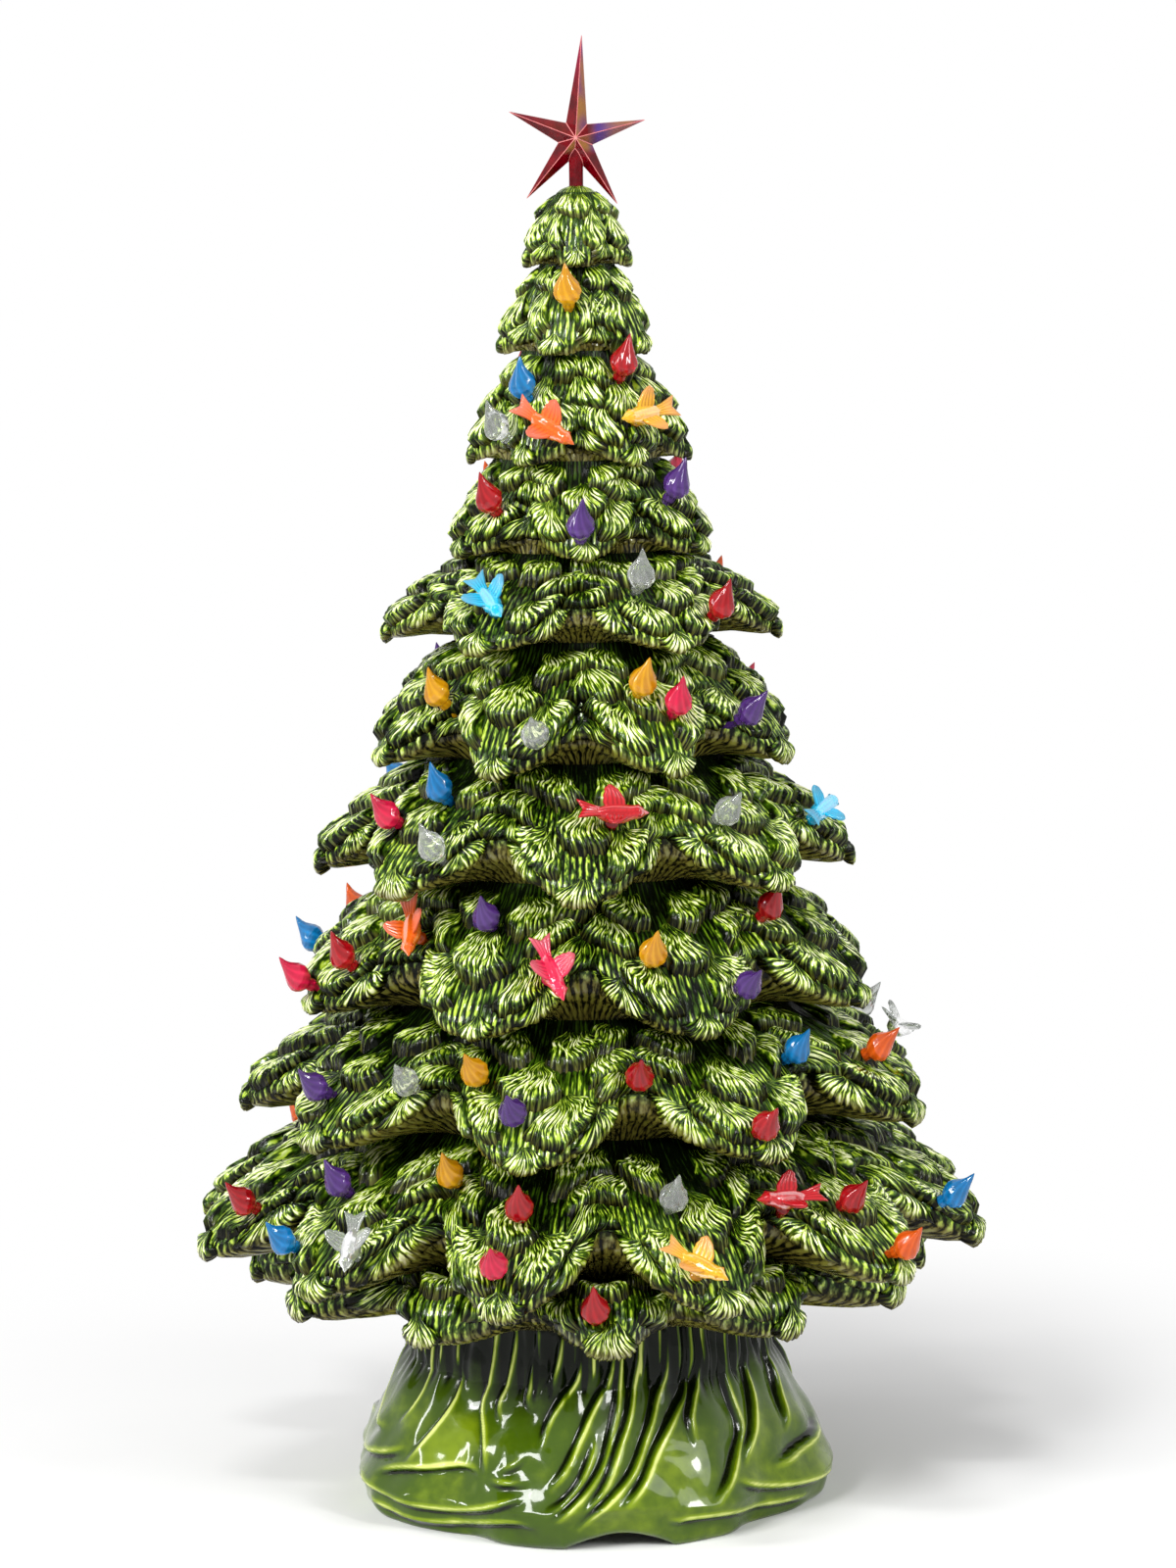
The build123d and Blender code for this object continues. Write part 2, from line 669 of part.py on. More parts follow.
with BuildPart() as bulb_filament:
    filament_rise = 4.0
    with BuildLine():
        coil = ThreePointArc((-lead_spread, 0, lead_end + lead_radius + filament_coil_radius),
                             (0, 0, lead_end + filament_rise),
                             (lead_spread, 0, lead_end + lead_radius + filament_coil_radius))
    with BuildSketch(Plane(origin=coil @ 0, z_dir=coil % 0)):
        Circle(filament_coil_radius)
    sweep(path=coil)
bulb_filament.part.label = "bulb_filament"
export_step(bulb_filament.part, "parts/bulb_filament.step")
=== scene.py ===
import json
import math
import bpy
import bmesh
import numpy as np
from mathutils import Matrix, Vector


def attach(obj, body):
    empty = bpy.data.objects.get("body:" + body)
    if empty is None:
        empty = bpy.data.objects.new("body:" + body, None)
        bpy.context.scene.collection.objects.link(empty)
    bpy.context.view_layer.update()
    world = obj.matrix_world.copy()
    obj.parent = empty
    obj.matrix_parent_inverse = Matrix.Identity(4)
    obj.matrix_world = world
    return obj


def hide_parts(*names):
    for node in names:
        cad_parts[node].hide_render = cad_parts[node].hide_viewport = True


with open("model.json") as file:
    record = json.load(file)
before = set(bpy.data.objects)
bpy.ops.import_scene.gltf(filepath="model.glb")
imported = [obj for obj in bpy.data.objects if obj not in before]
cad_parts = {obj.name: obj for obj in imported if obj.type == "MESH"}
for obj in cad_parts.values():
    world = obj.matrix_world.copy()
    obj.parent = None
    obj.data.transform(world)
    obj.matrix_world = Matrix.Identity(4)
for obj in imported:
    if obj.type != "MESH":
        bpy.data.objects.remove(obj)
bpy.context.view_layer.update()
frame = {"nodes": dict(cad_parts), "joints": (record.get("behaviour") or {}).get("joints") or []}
nodes = frame["nodes"]
mm = 0.001
chance = np.random.default_rng(11)
print("frame loaded:", len(nodes), "nodes")


class Flow:  # a shader socket that takes part in Python sums
    def __init__(self, tree, socket):
        self.tree, self.socket = tree, socket

    def add(self, kind, settings=None, sockets=None, out=0):
        node = self.tree.nodes.new(kind)
        for key, value in (settings or {}).items():
            setattr(node, key, value)
        for key, value in (sockets or {}).items():
            if isinstance(value, Flow):
                self.tree.links.new(value.socket, node.inputs[key])
            else:
                node.inputs[key].default_value = value
        return Flow(self.tree, node.outputs[out])

    def maths(self, name, other):
        pair = [self, other]
        wide = [isinstance(p, Flow) and p.socket.type in ("VECTOR", "RGBA") for p in pair]
        if any(wide) or isinstance(other, tuple):
            pair = [p if isinstance(p, (Flow, tuple)) else (p, p, p) for p in pair]
            return self.add("ShaderNodeVectorMath", {"operation": name}, {0: pair[0], 1: pair[1]})
        return self.add("ShaderNodeMath", {"operation": name}, {0: self, 1: other})

    def __add__(self, other):
        return self.maths("ADD", other)

    def __mul__(self, other):
        return self.maths("MULTIPLY", other)

    def __sub__(self, other):
        return self.maths("SUBTRACT", other)

    def __rsub__(self, other):
        return self * -1.0 + other

    __radd__ = __add__
    __rmul__ = __mul__

    def ramp(self, low, high, start=0.0, end=1.0):
        return self.add("ShaderNodeMapRange", {"interpolation_type": "SMOOTHSTEP"},
                        {"Value": self, "From Min": low, "From Max": high, "To Min": start, "To Max": end})

    def mix(self, first, second):
        return self.add("ShaderNodeMix", {"data_type": "RGBA"}, {0: self, 6: first, 7: second}, out=2)


def rgb(r, g, b):  # screen values 0 to 255 as a linear colour
    linear = [v / 3294.6 if v <= 10 else ((v / 255 + 0.055) / 1.055) ** 2.4 for v in (r, g, b)]
    return (*linear, 1.0)


def material(name):
    made = bpy.data.materials.new(name)
    made.use_nodes = True
    shader = made.node_tree.nodes["Principled BSDF"]
    return made, Flow(made.node_tree, shader.outputs[0]), shader


def connect(shader, **flows):
    sockets = {"colour": "Base Color", "rough": "Roughness", "normal": "Normal", "coat": "Coat Weight"}
    for key, flow in flows.items():
        shader.id_data.links.new(flow.socket, shader.inputs[sockets[key]])


def fact(flow, name):  # a value that the mesh carries at its points
    return flow.add("ShaderNodeAttribute", {"attribute_name": name}, out=2)


def place(flow):
    return flow.add("ShaderNodeTexCoord", out=3)


def noise(flow, scale, detail=3.0):
    return flow.add("ShaderNodeTexNoise", {}, {"Vector": place(flow), "Scale": scale, "Detail": detail})


def bump(flow, height, strength, distance):
    return flow.add("ShaderNodeBump", {}, {"Height": height, "Strength": strength, "Distance": distance})


def buildMesh(name, points, faces, look, facts=None):
    mesh = bpy.data.meshes.new(name)
    points = np.ascontiguousarray(points, dtype=np.float32)
    faces = np.ascontiguousarray(faces, dtype=np.int32)
    mesh.vertices.add(len(points))
    mesh.vertices.foreach_set("co", points.ravel())
    mesh.loops.add(faces.size)
    mesh.loops.foreach_set("vertex_index", faces.ravel())
    mesh.polygons.add(len(faces))
    mesh.polygons.foreach_set("loop_start", np.arange(0, faces.size, faces.shape[1], dtype=np.int32))
    mesh.update(calc_edges=True)
    mesh.polygons.foreach_set("use_smooth", np.ones(len(faces), dtype=bool))
    for key, values in (facts or {}).items():
        layer = mesh.attributes.new(key, "FLOAT", "POINT")
        layer.data.foreach_set("value", np.ascontiguousarray(values, dtype=np.float32))
    mesh.materials.append(look)
    made = bpy.data.objects.new(name, mesh)
    bpy.context.scene.collection.objects.link(made)
    return made


def gridFaces(rows, columns, wrapColumns=False, wrapRows=False):
    ends = np.arange(rows - (not wrapRows)), np.arange(columns - (not wrapColumns))
    i, j = np.meshgrid(*ends, indexing="ij")
    i2, j2 = (i + 1) % rows, (j + 1) % columns
    faces = np.stack([i * columns + j, i * columns + j2, i2 * columns + j2, i2 * columns + j], axis=-1)
    return faces.reshape(-1, 4)


def joined(parts):  # several (points, faces, fact, fact...) as one
    starts = np.cumsum([0] + [len(p[0]) for p in parts[:-1]])
    faces = np.concatenate([p[1] + s for p, s in zip(parts, starts)])
    return (np.concatenate([p[0] for p in parts]), faces,
            *[np.concatenate([p[k] for p in parts]) for k in range(2, len(parts[0]))])


def step(low, high, value):
    k = np.clip((value - low) / (high - low), 0, 1)
    return k * k * (3 - 2 * k)


def ringWall(heights, radii, columns=24):  # a turned shape about the local Z
    theta = 2 * np.pi * np.arange(columns) / columns
    r, t = np.meshgrid(np.array(radii, dtype=float), theta, indexing="ij")
    z = np.repeat(np.array(heights, dtype=float)[:, None], columns, axis=1)
    points = np.stack([r * np.cos(t), r * np.sin(t), z], axis=-1).reshape(-1, 3)
    return points, gridFaces(len(heights), columns, wrapColumns=True)


# Tree: the tiers of the solid, with rounded corners, as a surface over azimuth and way t,
# which is 0 at the root, 1 at the shoulder, 2 at the upper edge, 3 at the lower edge and 4 at the next root
tree = {
    "tiers": [(521, 23, 4, 0), (486, 34, 5, 180), (442, 47, 6, 0), (405, 59, 6, 30), (370, 84, 6, 0),
              (322, 93, 8, 22.5), (275, 114, 8, 0), (222, 125, 8, 22.5), (175, 147, 9, 180),
              (122, 169, 12, 18), (103, 144, 12, 3)],  # tip height, reach, branches, turn
    "crown": (11, 546), "seat": 88, "rim": (84, 66), "waist": (112, 14.5), "wall": 6, "tipWall": 13,
    "notch": 0.2, "lift": 0.14, "liftLimit": 0.45, "edge": (8, 14), "shoulder": (0.6, 0.47), "bend": 0.38,
    "scaleWidth": 33, "smallReach": 40, "needle": 2.35, "needleDeep": 0.8, "sunk": 2.6, "rise": 4.6,
    "starHole": 3.3, "cleft": 3.6, "swell": 8.0, "dome": (537, 13), "coreRows": 20,
    "cuts": [0.0, 0.36, 0.7],  # a groove and two ridge columns across each stroke
    "rowStep": (1.9, 2.3), "wideReach": 160,  # coarser on the widest tier
    "rows": [(0.84, 0.0), (1.44, 0.5), (2.3, 0.0), (2.95, 0.5)],  # way and shift of the rims
    "smallRows": [(1.05, 0.5), (2.25, 0.0), (2.9, 0.5)],
}
tiers = tree["tiers"]


def edgeOf(n):
    high, low = tree["edge"]
    return high + (low - high) * n / (len(tiers) - 1)


def rootOf(n):
    if n == 0:
        return tree["crown"]
    if n == len(tiers):
        return tree["rim"][0], tree["seat"]
    z = tiers[n - 1][0] - edgeOf(n - 1) / 2
    low, high = tree["waist"]
    return low + (high - low) * (z - tree["seat"]) / (tiers[0][0] - tree["seat"]), z


def corners(n, azimuth):
    tip, reach, count, turn = tiers[n]
    r0, z0 = rootOf(n)
    valley = ((1 - np.cos(np.radians((azimuth - turn) * count))) / 2) ** 1.5
    rise = min(tree["lift"] * reach, tree["liftLimit"] * (z0 - tip))
    rb, zb = reach * (1 - tree["notch"] * valley), tip + rise * valley
    out, down = tree["shoulder"]
    r4, z4 = rootOf(n + 1)
    none = np.zeros_like(rb)
    r = np.stack([none + r0, r0 + out * (rb - r0), rb, rb - edgeOf(n) / 4, none + r4])
    z = np.stack([none + z0, z0 - down * (z0 - zb), zb, zb - edgeOf(n), none + z4])
    return r, z


def surface(n, azimuth, t):
    q = tree["bend"]
    t = np.clip(t, 0, 4)
    k = np.clip(np.round(t), 1, 3).astype(int)
    low = np.clip(np.floor(t), 0, 3).astype(int)
    spots = np.indices(t.shape)
    out = []
    for a in corners(n, azimuth):
        at = lambda i: a[(i, *spots)]
        straight = at(low) + (at(low + 1) - at(low)) * (t - low)
        before = at(k) + (at(k - 1) - at(k)) * q
        after = at(k) + (at(k + 1) - at(k)) * q
        w = np.clip((t - k + q) / (2 * q), 0, 1)
        bent = before * (1 - w) ** 2 + 2 * at(k) * w * (1 - w) + after * w ** 2
        out.append(np.where(np.abs(t - k) < q, bent, straight))
    a = np.radians(azimuth)
    return np.stack([out[0] * np.cos(a), out[0] * np.sin(a), out[1]], axis=-1)


# this valley mask sinks the surface and also deepens the painted shade there
def cleft(n, azimuth, t):  # 1 in the dark valley between two branches
    count, turn = tiers[n][2:]
    aside = np.abs(((azimuth - turn) * count / 360 + 0.5) % 1 - 0.5)
    return step(0.36, 0.5, aside) * step(0.4, 1.3, t) * (1 - step(2.6, 3.2, t))


def raised(n, azimuth, t, height):  # points at a height over the surface
    da = surface(n, azimuth + 0.4, t) - surface(n, azimuth - 0.4, t)
    dt = surface(n, azimuth, t + 0.03) - surface(n, azimuth, t - 0.03)
    normal = np.cross(dt, da)
    normal /= np.maximum(np.linalg.norm(normal, axis=-1, keepdims=True), 1e-9)
    deep = tree["cleft"] * cleft(n, azimuth, t) * min(1, tiers[n][1] / 90)
    if n == len(tiers) - 1:  # the lowest branches swell up to those above them
        middle = np.cos(np.radians((azimuth - tiers[n][3]) * tiers[n][2]))
        deep = deep - tree["swell"] * step(-0.6, 0.8, middle) * step(0.1, 0.7, t) * (1 - step(1.2, 2.2, t))
    return surface(n, azimuth, t) + normal * (height - deep)[..., None]


def needles(count, along, period):
    # each stroke has a groove and two ridge columns, and is broken into needles that overlap
    kind = np.tile([0.0, 1.0, 0.8], count)
    begin = np.repeat(chance.random(count), 3)
    length = np.repeat(period * (0.7 + 0.6 * chance.random(count)), 3)
    saw = (along / length[None, :] + begin[None, :]) % 1.0
    strength = np.repeat(0.7 + 0.6 * chance.random(count), 3)
    kind = kind * (0.45 + 0.55 * step(0.0, 0.16, saw))
    # the second value lightens the ridges towards each needle's end, partly the glaze's own colour and partly
    # painted highlight
    return kind * strength * (0.7 + 0.4 * saw), kind * (0.65 + 0.35 * saw) * (0.5 + 0.5 * strength)


def scaleCount(n):
    reach, count = tiers[n][1:3]
    return count * max(2, round(2 * math.pi * reach / count / tree["scaleWidth"]))


def frond(n, azimuth, backT, rimT, lean, width, size):
    # a scallop of needles that fan out from under the row above it to a rolled rim
    probe = np.linspace(0, 4, 161)
    track = surface(n, np.full(161, float(azimuth)), probe)
    run = np.concatenate([[0], np.cumsum(np.linalg.norm(np.diff(track, axis=0), axis=1))])
    first, last = np.interp([backT, rimT], probe, run)
    first = max(first - 0.4 * (last - first) - 4, -6)
    length = last - first
    spread = min(0.58 * width / length, 0.85)
    count = max(4, int(round(2 * spread * length / tree["needle"])))
    widths = 0.35 + 1.3 * chance.random(count)
    starts = (np.cumsum(widths) - widths) / widths.sum()
    cuts = starts[:, None] + np.outer(widths / widths.sum(), tree["cuts"])
    phi = 2 * np.append(cuts.ravel(), 1.0) - 1
    hidden = 0.85 * (length - (last - np.interp(backT, probe, run))) / length
    rowStep = tree["rowStep"][tiers[n][1] > tree["wideReach"]]
    shown = np.linspace(hidden, 1, max(9, int(length * (1 - hidden) / rowStep)))
    v = np.concatenate([np.linspace(0.12, hidden, 4), shown[1:]])
    columns, rows = len(phi), len(v)
    vv, pp = np.meshgrid(v, phi, indexing="ij")
    ragged = np.append(np.repeat(1 + 0.025 * chance.standard_normal(count), 3), 1.0)
    rho = vv * (length * (1 - 0.2 * np.abs(phi) ** 2.2) * ragged)[None, :]
    sway = np.append(np.repeat(np.cumsum(0.7 * chance.standard_normal(count)), 3), 0.0)
    angle = pp * spread + lean + 0.06 * np.sin(rho / 7.0 + chance.random() * 6.28)
    t = np.interp(first + rho * np.cos(angle), run, probe)
    radius = np.interp(t, probe, np.hypot(track[:, 0], track[:, 1]))
    aside = rho * np.sin(angle) + 0.8 * np.sin(rho / 2.6 + sway[None, :])
    az = azimuth + np.degrees(aside / np.maximum(radius, 7))
    strokes, ridge = needles(count, rho[:, :-1], 10.0 + length * 0.06)
    strokes, ridge = [np.concatenate([a, 0 * a[:, :1]], axis=1) for a in (strokes, ridge)]
    rise = tree["rise"] * size
    fall = (rise + 2.0 * size) * np.maximum(step(0.8, 1.0, vv) ** 1.4, step(0.78, 1.0, np.abs(pp)) ** 1.2)
    arch = 0.9 * size * pp ** 2 * vv
    fine = tree["needleDeep"] * (0.6 + 0.4 * size) * np.clip(vv * 1.4, 0.2, 1)
    height = rise * step(0.1, 0.8, vv) - fall - arch + (strokes - 0.5) * fine - tree["sunk"] * size
    # painted shade: darker at the root under the row above, towards the rolled rim and at the sides, and
    # deeper in the valleys
    painted_shading = (0.45 + 0.55 * step(0.2, 0.55, vv)) * (1 - 0.76 * step(0.68, 0.95, vv))
    painted_shading = painted_shading * (1 - 0.5 * step(0.6, 1.0, np.abs(pp)))
    # browner under the branches and along the rims, partly the glaze's own colour and partly painted shade
    under = np.maximum(step(2.3, 2.8, t), 0.85 * step(0.82, 0.96, vv))
    painted_shading = painted_shading * (0.6 + 0.4 * step(0.1, 0.6, t)) * (1 - 0.45 * cleft(n, az, t))
    across = 0.5 * (pp + 1) * count * tree["needle"] + 400 * chance.random()
    facts = [ridge, painted_shading, under, rho + 400 * chance.random(), across]
    return (raised(n, az, t, height).reshape(-1, 3), gridFaces(rows, columns), *[f.ravel() for f in facts])


def core(n):  # the needled ground under the fronds
    reach = tiers[n][1]
    count = int(2 * math.pi * reach / tree["needle"] * 0.75)
    rows, columns = tree["coreRows"], count * 3
    tt, aa = np.meshgrid(np.linspace(0, 4, rows), 360 * np.arange(columns) / columns, indexing="ij")
    points = surface(n, aa, tt)
    run = np.concatenate([[0], np.cumsum(np.linalg.norm(np.diff(points[:, 0], axis=0), axis=1))])
    strokes, ridge = needles(count, np.repeat(run[:, None], columns, axis=1), 9.0)
    fade = step(0.0, 0.3, tt) * (1 - step(3.5, 4.0, tt))
    size = 1.0 if reach > tree["smallReach"] else 0.6
    height = ((strokes - 0.5) * 0.7 - tree["sunk"] * size * 1.1) * fade
    points = raised(n, aa, tt, height)
    # painted shade: the second fact darkens towards the root under the tier above; the third browns the
    # underside, partly glaze colour and partly painted shade
    facts = [ridge, 0.2 + 0.35 * step(0.3, 1.4, tt), step(2.2, 2.8, tt),
             np.repeat(run[:, None], columns, axis=1), aa / 360 * count * tree["needle"]]
    out = [(points.reshape(-1, 3), gridFaces(rows, columns, wrapColumns=True), *[f.ravel() for f in facts])]
    if n == 0:  # rounded crown with the hole for the star
        r0, z0 = tree["crown"]
        hole = tree["starHole"]
        radii = np.array([hole, hole, hole + 0.8, *np.linspace(hole + 2, r0, 7)])
        bow = 2.4 * np.sqrt(1 - np.linspace(0.3, 1, 7) ** 2)
        heights = np.array([z0 - 16, z0 + 1.6, z0 + 2.4, *(z0 + bow)])
        cap = ringWall(heights, radii, columns)
        grooves = np.tile([0.0, 1.0, 0.8], count * len(radii))
        cap[0][:, 2] += (grooves - 0.6) * 0.6 * (cap[0][:, 2] > z0 + 0.1)
        spare = [np.zeros(len(grooves)), np.repeat(radii, columns), np.tile(facts[4][0], len(radii))]
        out.append((cap[0], cap[1], grooves, np.full(len(grooves), 0.45), *spare))
    if n == len(tiers) - 1:  # flat rim that stands on the base
        rim = ringWall([tree["seat"]] * 2, tree["rim"], columns)
        none = np.zeros(2 * columns)
        out.append((*rim, none, none, none + 1, none, none))
    return out


def branches(n):
    reach, count, turn = tiers[n][1:]
    out = core(n)
    scales = scaleCount(n)
    pitch = 360 / scales
    big = reach > tree["smallReach"]
    size = 0.55 + 0.45 * min(1, reach / 90)
    backT = 0.0
    for rimT, shift in tree["rows"] if big else tree["smallRows"]:
        for i in range(scales):
            azimuth = turn + (i + 0.5 - shift + 0.07 * chance.standard_normal()) * pitch
            fromMiddle = ((azimuth - turn) * count / 360 + 0.5) % 1 - 0.5
            lean = 0.75 * fromMiddle + 0.08 * chance.standard_normal()
            radius = math.hypot(*surface(n, np.array([azimuth]), np.array([min(rimT, 2.0)]))[0, :2])
            width = math.radians(pitch) * radius * (1.16 + 0.08 * chance.standard_normal())
            rim = rimT + 0.06 * chance.standard_normal()
            part = 0.55 if rimT > 2.5 else 1.0
            out.append(frond(n, azimuth, max(backT - 0.05, 0), rim, lean, width, size * part))
        backT = rimT
    points, faces, *facts = joined(out)
    if n == 0:  # the crown is rounded off towards the star
        above = np.clip((points[:, 2] - tree["dome"][0]) / tree["dome"][1], 0, 0.9)
        r = np.hypot(points[:, 0], points[:, 1])
        drawn = np.maximum(r * np.sqrt(1 - above ** 2), np.minimum(r, tree["starHole"]))
        points[:, :2] *= (drawn / r)[:, None]
    return (points, faces, *facts)


def pegFrames():
    # seat and axis of every peg in mm: lights from their solids, birds from their joints
    found = []
    for name in sorted(n for n in nodes if n.startswith("lights_")):
        mesh = bmesh.new()
        mesh.from_mesh(nodes[name].data)
        bmesh.ops.remove_doubles(mesh, verts=mesh.verts, dist=1e-6)
        left = set(mesh.verts)
        while left:
            group, queue = [], [left.pop()]
            while queue:
                v = queue.pop()
                group.append(v.co[:])
                fresh = {e.other_vert(v) for e in v.link_edges} & left
                left -= fresh
                queue.extend(fresh)
            p = np.array(group) / mm
            middle = p.mean(axis=0)
            axis = np.linalg.svd(p - middle, full_matrices=False)[2][0]
            h = (p - middle) @ axis
            wide = np.linalg.norm(p - middle - np.outer(h, axis), axis=1)
            if wide[h > h.max() - 0.4].max() > wide[h < h.min() + 0.4].max():
                axis, h = -axis, -h
            found.append((name, middle + axis * (h.min() + flame["peg"]), axis))
        mesh.free()
    for joint in frame["joints"]:
        if joint["child"].startswith("bird_"):
            axis = np.array(joint["axis"], dtype=float)
            found.append((joint["child"], np.array(joint["pos_m"]) / mm, axis / np.linalg.norm(axis)))
    return sorted(found, key=lambda f: (f[0], *f[1].round(2)))


flame = {"peg": 9.0, "ribs": 9, "twist": 1.3, "ribDepth": 0.05, "bend": 0.018, "rings": 57, "columns": 54,
         "heights": [-9, -9, 0, 0, 2.4, 3.0, 4.2, 6.0, 7.6, 9.6, 11.6, 13.6, 15.4, 17.2, 18.8],
         "radii": [0.05, 2.0, 2.0, 2.65, 2.65, 3.2, 4.5, 5.5, 5.9, 5.3, 4.0, 2.7, 1.75, 1.05, 0.2]}
pegs = pegFrames()
print("pegs:", len(pegs))


# How high the branches may stand beside a peg, as distance from its axis and height over its seat
clearRings = {"bird": ([0, 3.4, 4.2, 9.5, 11, 17.5, 19], [-0.1, -0.1, 0.6, 1.9, 3.4, 5.0, 12]),
              "lights": ([0, 3.2, 4.0, 7.0, 9.5, 13], [-0.1, -0.1, 0.4, 2.0, 4.5, 12])}


def clearPegs(points):
    # level the branches round each peg, so that lights and birds sit clear of them
    for name, seat, axis in pegs:
        near = np.flatnonzero(np.abs(points - seat).max(axis=1) < 26)
        rel = points[near] - seat
        h = rel @ axis
        d = np.linalg.norm(rel - np.outer(h, axis), axis=1)
        limit = np.interp(d, *clearRings[name.split("_")[0]])
        low = (h > limit) & (h < 11)
        points[near[low]] -= np.outer((h - limit)[low], axis)
    return points


def treeGlaze():
    # dark in the grooves as painted shade, brown below partly as painted shade, lime over the ridges partly
    # as painted highlight, near-white painted glints on the highest
    look, flow, shader = material("tree_glaze")
    ridge, painted_shading, under = fact(flow, "ridge"), fact(flow, "painted_shading"), fact(flow, "under")
    cloud, speck = noise(flow, 22.0), noise(flow, 190.0, 2.0)
    stretch = {0: fact(flow, "across") * 0.95, 1: fact(flow, "along") * 0.2}
    grain = flow.add("ShaderNodeCombineXYZ", {}, stretch)
    streak = flow.add("ShaderNodeTexNoise", {}, {"Vector": grain, "Scale": 1.0, "Detail": 2.0})
    high = flow.add("ShaderNodeSeparateXYZ", {}, {"Vector": place(flow)}, out=2)
    lit = (ridge * 0.95 + 0.24) * (painted_shading * 0.95 + 0.05) * streak.ramp(0.34, 0.66, 0.34, 1.32)
    level = lit + (cloud - 0.5) * 0.5 + (speck - 0.5) * 0.2 + high.ramp(0.3, 0.55) * 0.08
    colour = level.ramp(0.12, 0.5).mix(rgb(4, 9, 2), rgb(58, 90, 8))
    colour = level.ramp(0.42, 0.7).mix(colour, rgb(176, 204, 54))
    # near-white painted glints where the level is highest
    colour = level.ramp(0.7, 0.98).mix(colour, rgb(252, 255, 204))
    # dark brown below, partly the glaze's own colour and partly painted shade
    brown = level.ramp(0.1, 0.45).mix(rgb(8, 7, 3), rgb(104, 94, 40))
    colour = (under * 0.9).mix(colour, brown)
    connect(shader, colour=colour, rough=speck.ramp(0.3, 0.7, 0.12, 0.25), coat=level.ramp(0.2, 0.7),
            normal=bump(flow, streak, 0.6, 0.0012))
    shader.inputs["Specular IOR Level"].default_value = 0.12
    shader.inputs["Coat Roughness"].default_value = 0.07
    return look


glaze = treeGlaze()
faceCount = 0
for n in range(len(tiers)):
    points, faces, *facts = branches(n)
    piece = buildMesh("branches_%02d" % (n + 1), clearPegs(points) * mm, faces, glaze,
                      dict(zip(("ridge", "painted_shading", "under", "along", "across"), facts)))
    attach(piece, "tree")
    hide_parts("tree_tier_%02d" % (n + 1))
    faceCount += len(faces)
print("branches:", faceCount, "faces")


def bareClay():
    look, flow, shader = material("bare_clay")
    grain = noise(flow, 160.0, 4.0)
    connect(shader, colour=grain.ramp(0.3, 0.75).mix(rgb(206, 200, 186), rgb(232, 228, 218)),
            rough=grain.ramp(0.2, 0.8, 0.75, 0.95), normal=bump(flow, grain, 0.3, 0.0008))
    return look


def insideGrid():  # the hollow, well below the grooves
    columns = 240
    az = 360 * np.arange(columns) / columns
    wall, tipWall = tree["wall"], tree["tipWall"]
    none = np.zeros(columns)
    rings = [(none + tree["starHole"], none + tree["crown"][1] - 16),
             (none + tree["crown"][0] - wall, none + tree["crown"][1] - wall)]
    for n in range(len(tiers)):
        r, z = corners(n, az)
        if n:
            rings.append((r[0] - wall, z[0]))
        rings.append((r[1] - 1.4 * wall, z[1] - 1.4 * wall))
        if n < len(tiers) - 1:
            rings.append((r[2] - 1.15 * tipWall, z[2]))
        rings.append((r[3] - tipWall, z[3] + 1.2 * wall))
    rings.append((none + tree["rim"][1], none + tree["seat"]))
    a = np.radians(az)
    points = np.stack([np.stack([r * np.cos(a), r * np.sin(a), z], axis=-1) for r, z in rings])
    return points.reshape(-1, 3), gridFaces(len(rings), columns, wrapColumns=True)[:, ::-1]


points, faces = insideGrid()
inside = buildMesh("tree_inside", points * mm, faces, bareClay())
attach(inside, "tree")
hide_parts(*["tree_tier_%02d" % (n + 1) for n in range(len(tiers))])

# Clear coloured plastic of the lights and birds
plasticColours = {"red": (176, 4, 20), "pink": (216, 20, 70), "yellow": (240, 160, 6), "orange": (242, 92, 8),
                  "blue": (4, 124, 190), "purple": (84, 46, 126), "clear": (226, 232, 226),
                  "aqua": (10, 170, 210)}


def plastic(name, colour, clear, fading=False):
    look, flow, shader = material(name)
    streak = noise(flow, 120.0, 2.0)
    base = rgb(*colour)
    # painted light: a shaded copy (deep) and a lit copy (light) of the colour, mixed by the painted light the
    # mesh carries, stand for light refracted in the clear plastic
    deep = tuple(0.6 * c for c in base[:3]) + (1.0,)
    light = tuple(min(1.0, c * 1.5 + 0.01) for c in base[:3]) + (1.0,)
    tint = (streak.ramp(0.3, 0.7) * 0.25 + fact(flow, "painted_light") * 0.9).mix(deep, light)
    if fading:  # wings and tail are thin, so they look paler
        thin = tuple(0.8 * c + 0.1 for c in base[:3]) + (1.0,)
        tint = fact(flow, "thin").mix(tint, thin)
    connect(shader, colour=tint, rough=streak.ramp(0.3, 0.7, 0.03, 0.08),
            normal=bump(flow, streak, 0.05, 0.0004))
    shader.inputs["Transmission Weight"].default_value = clear
    shader.inputs["IOR"].default_value = 1.49
    shader.inputs["Specular IOR Level"].default_value = 0.12
    shader.inputs["Coat Weight"].default_value = 0.35
    return look


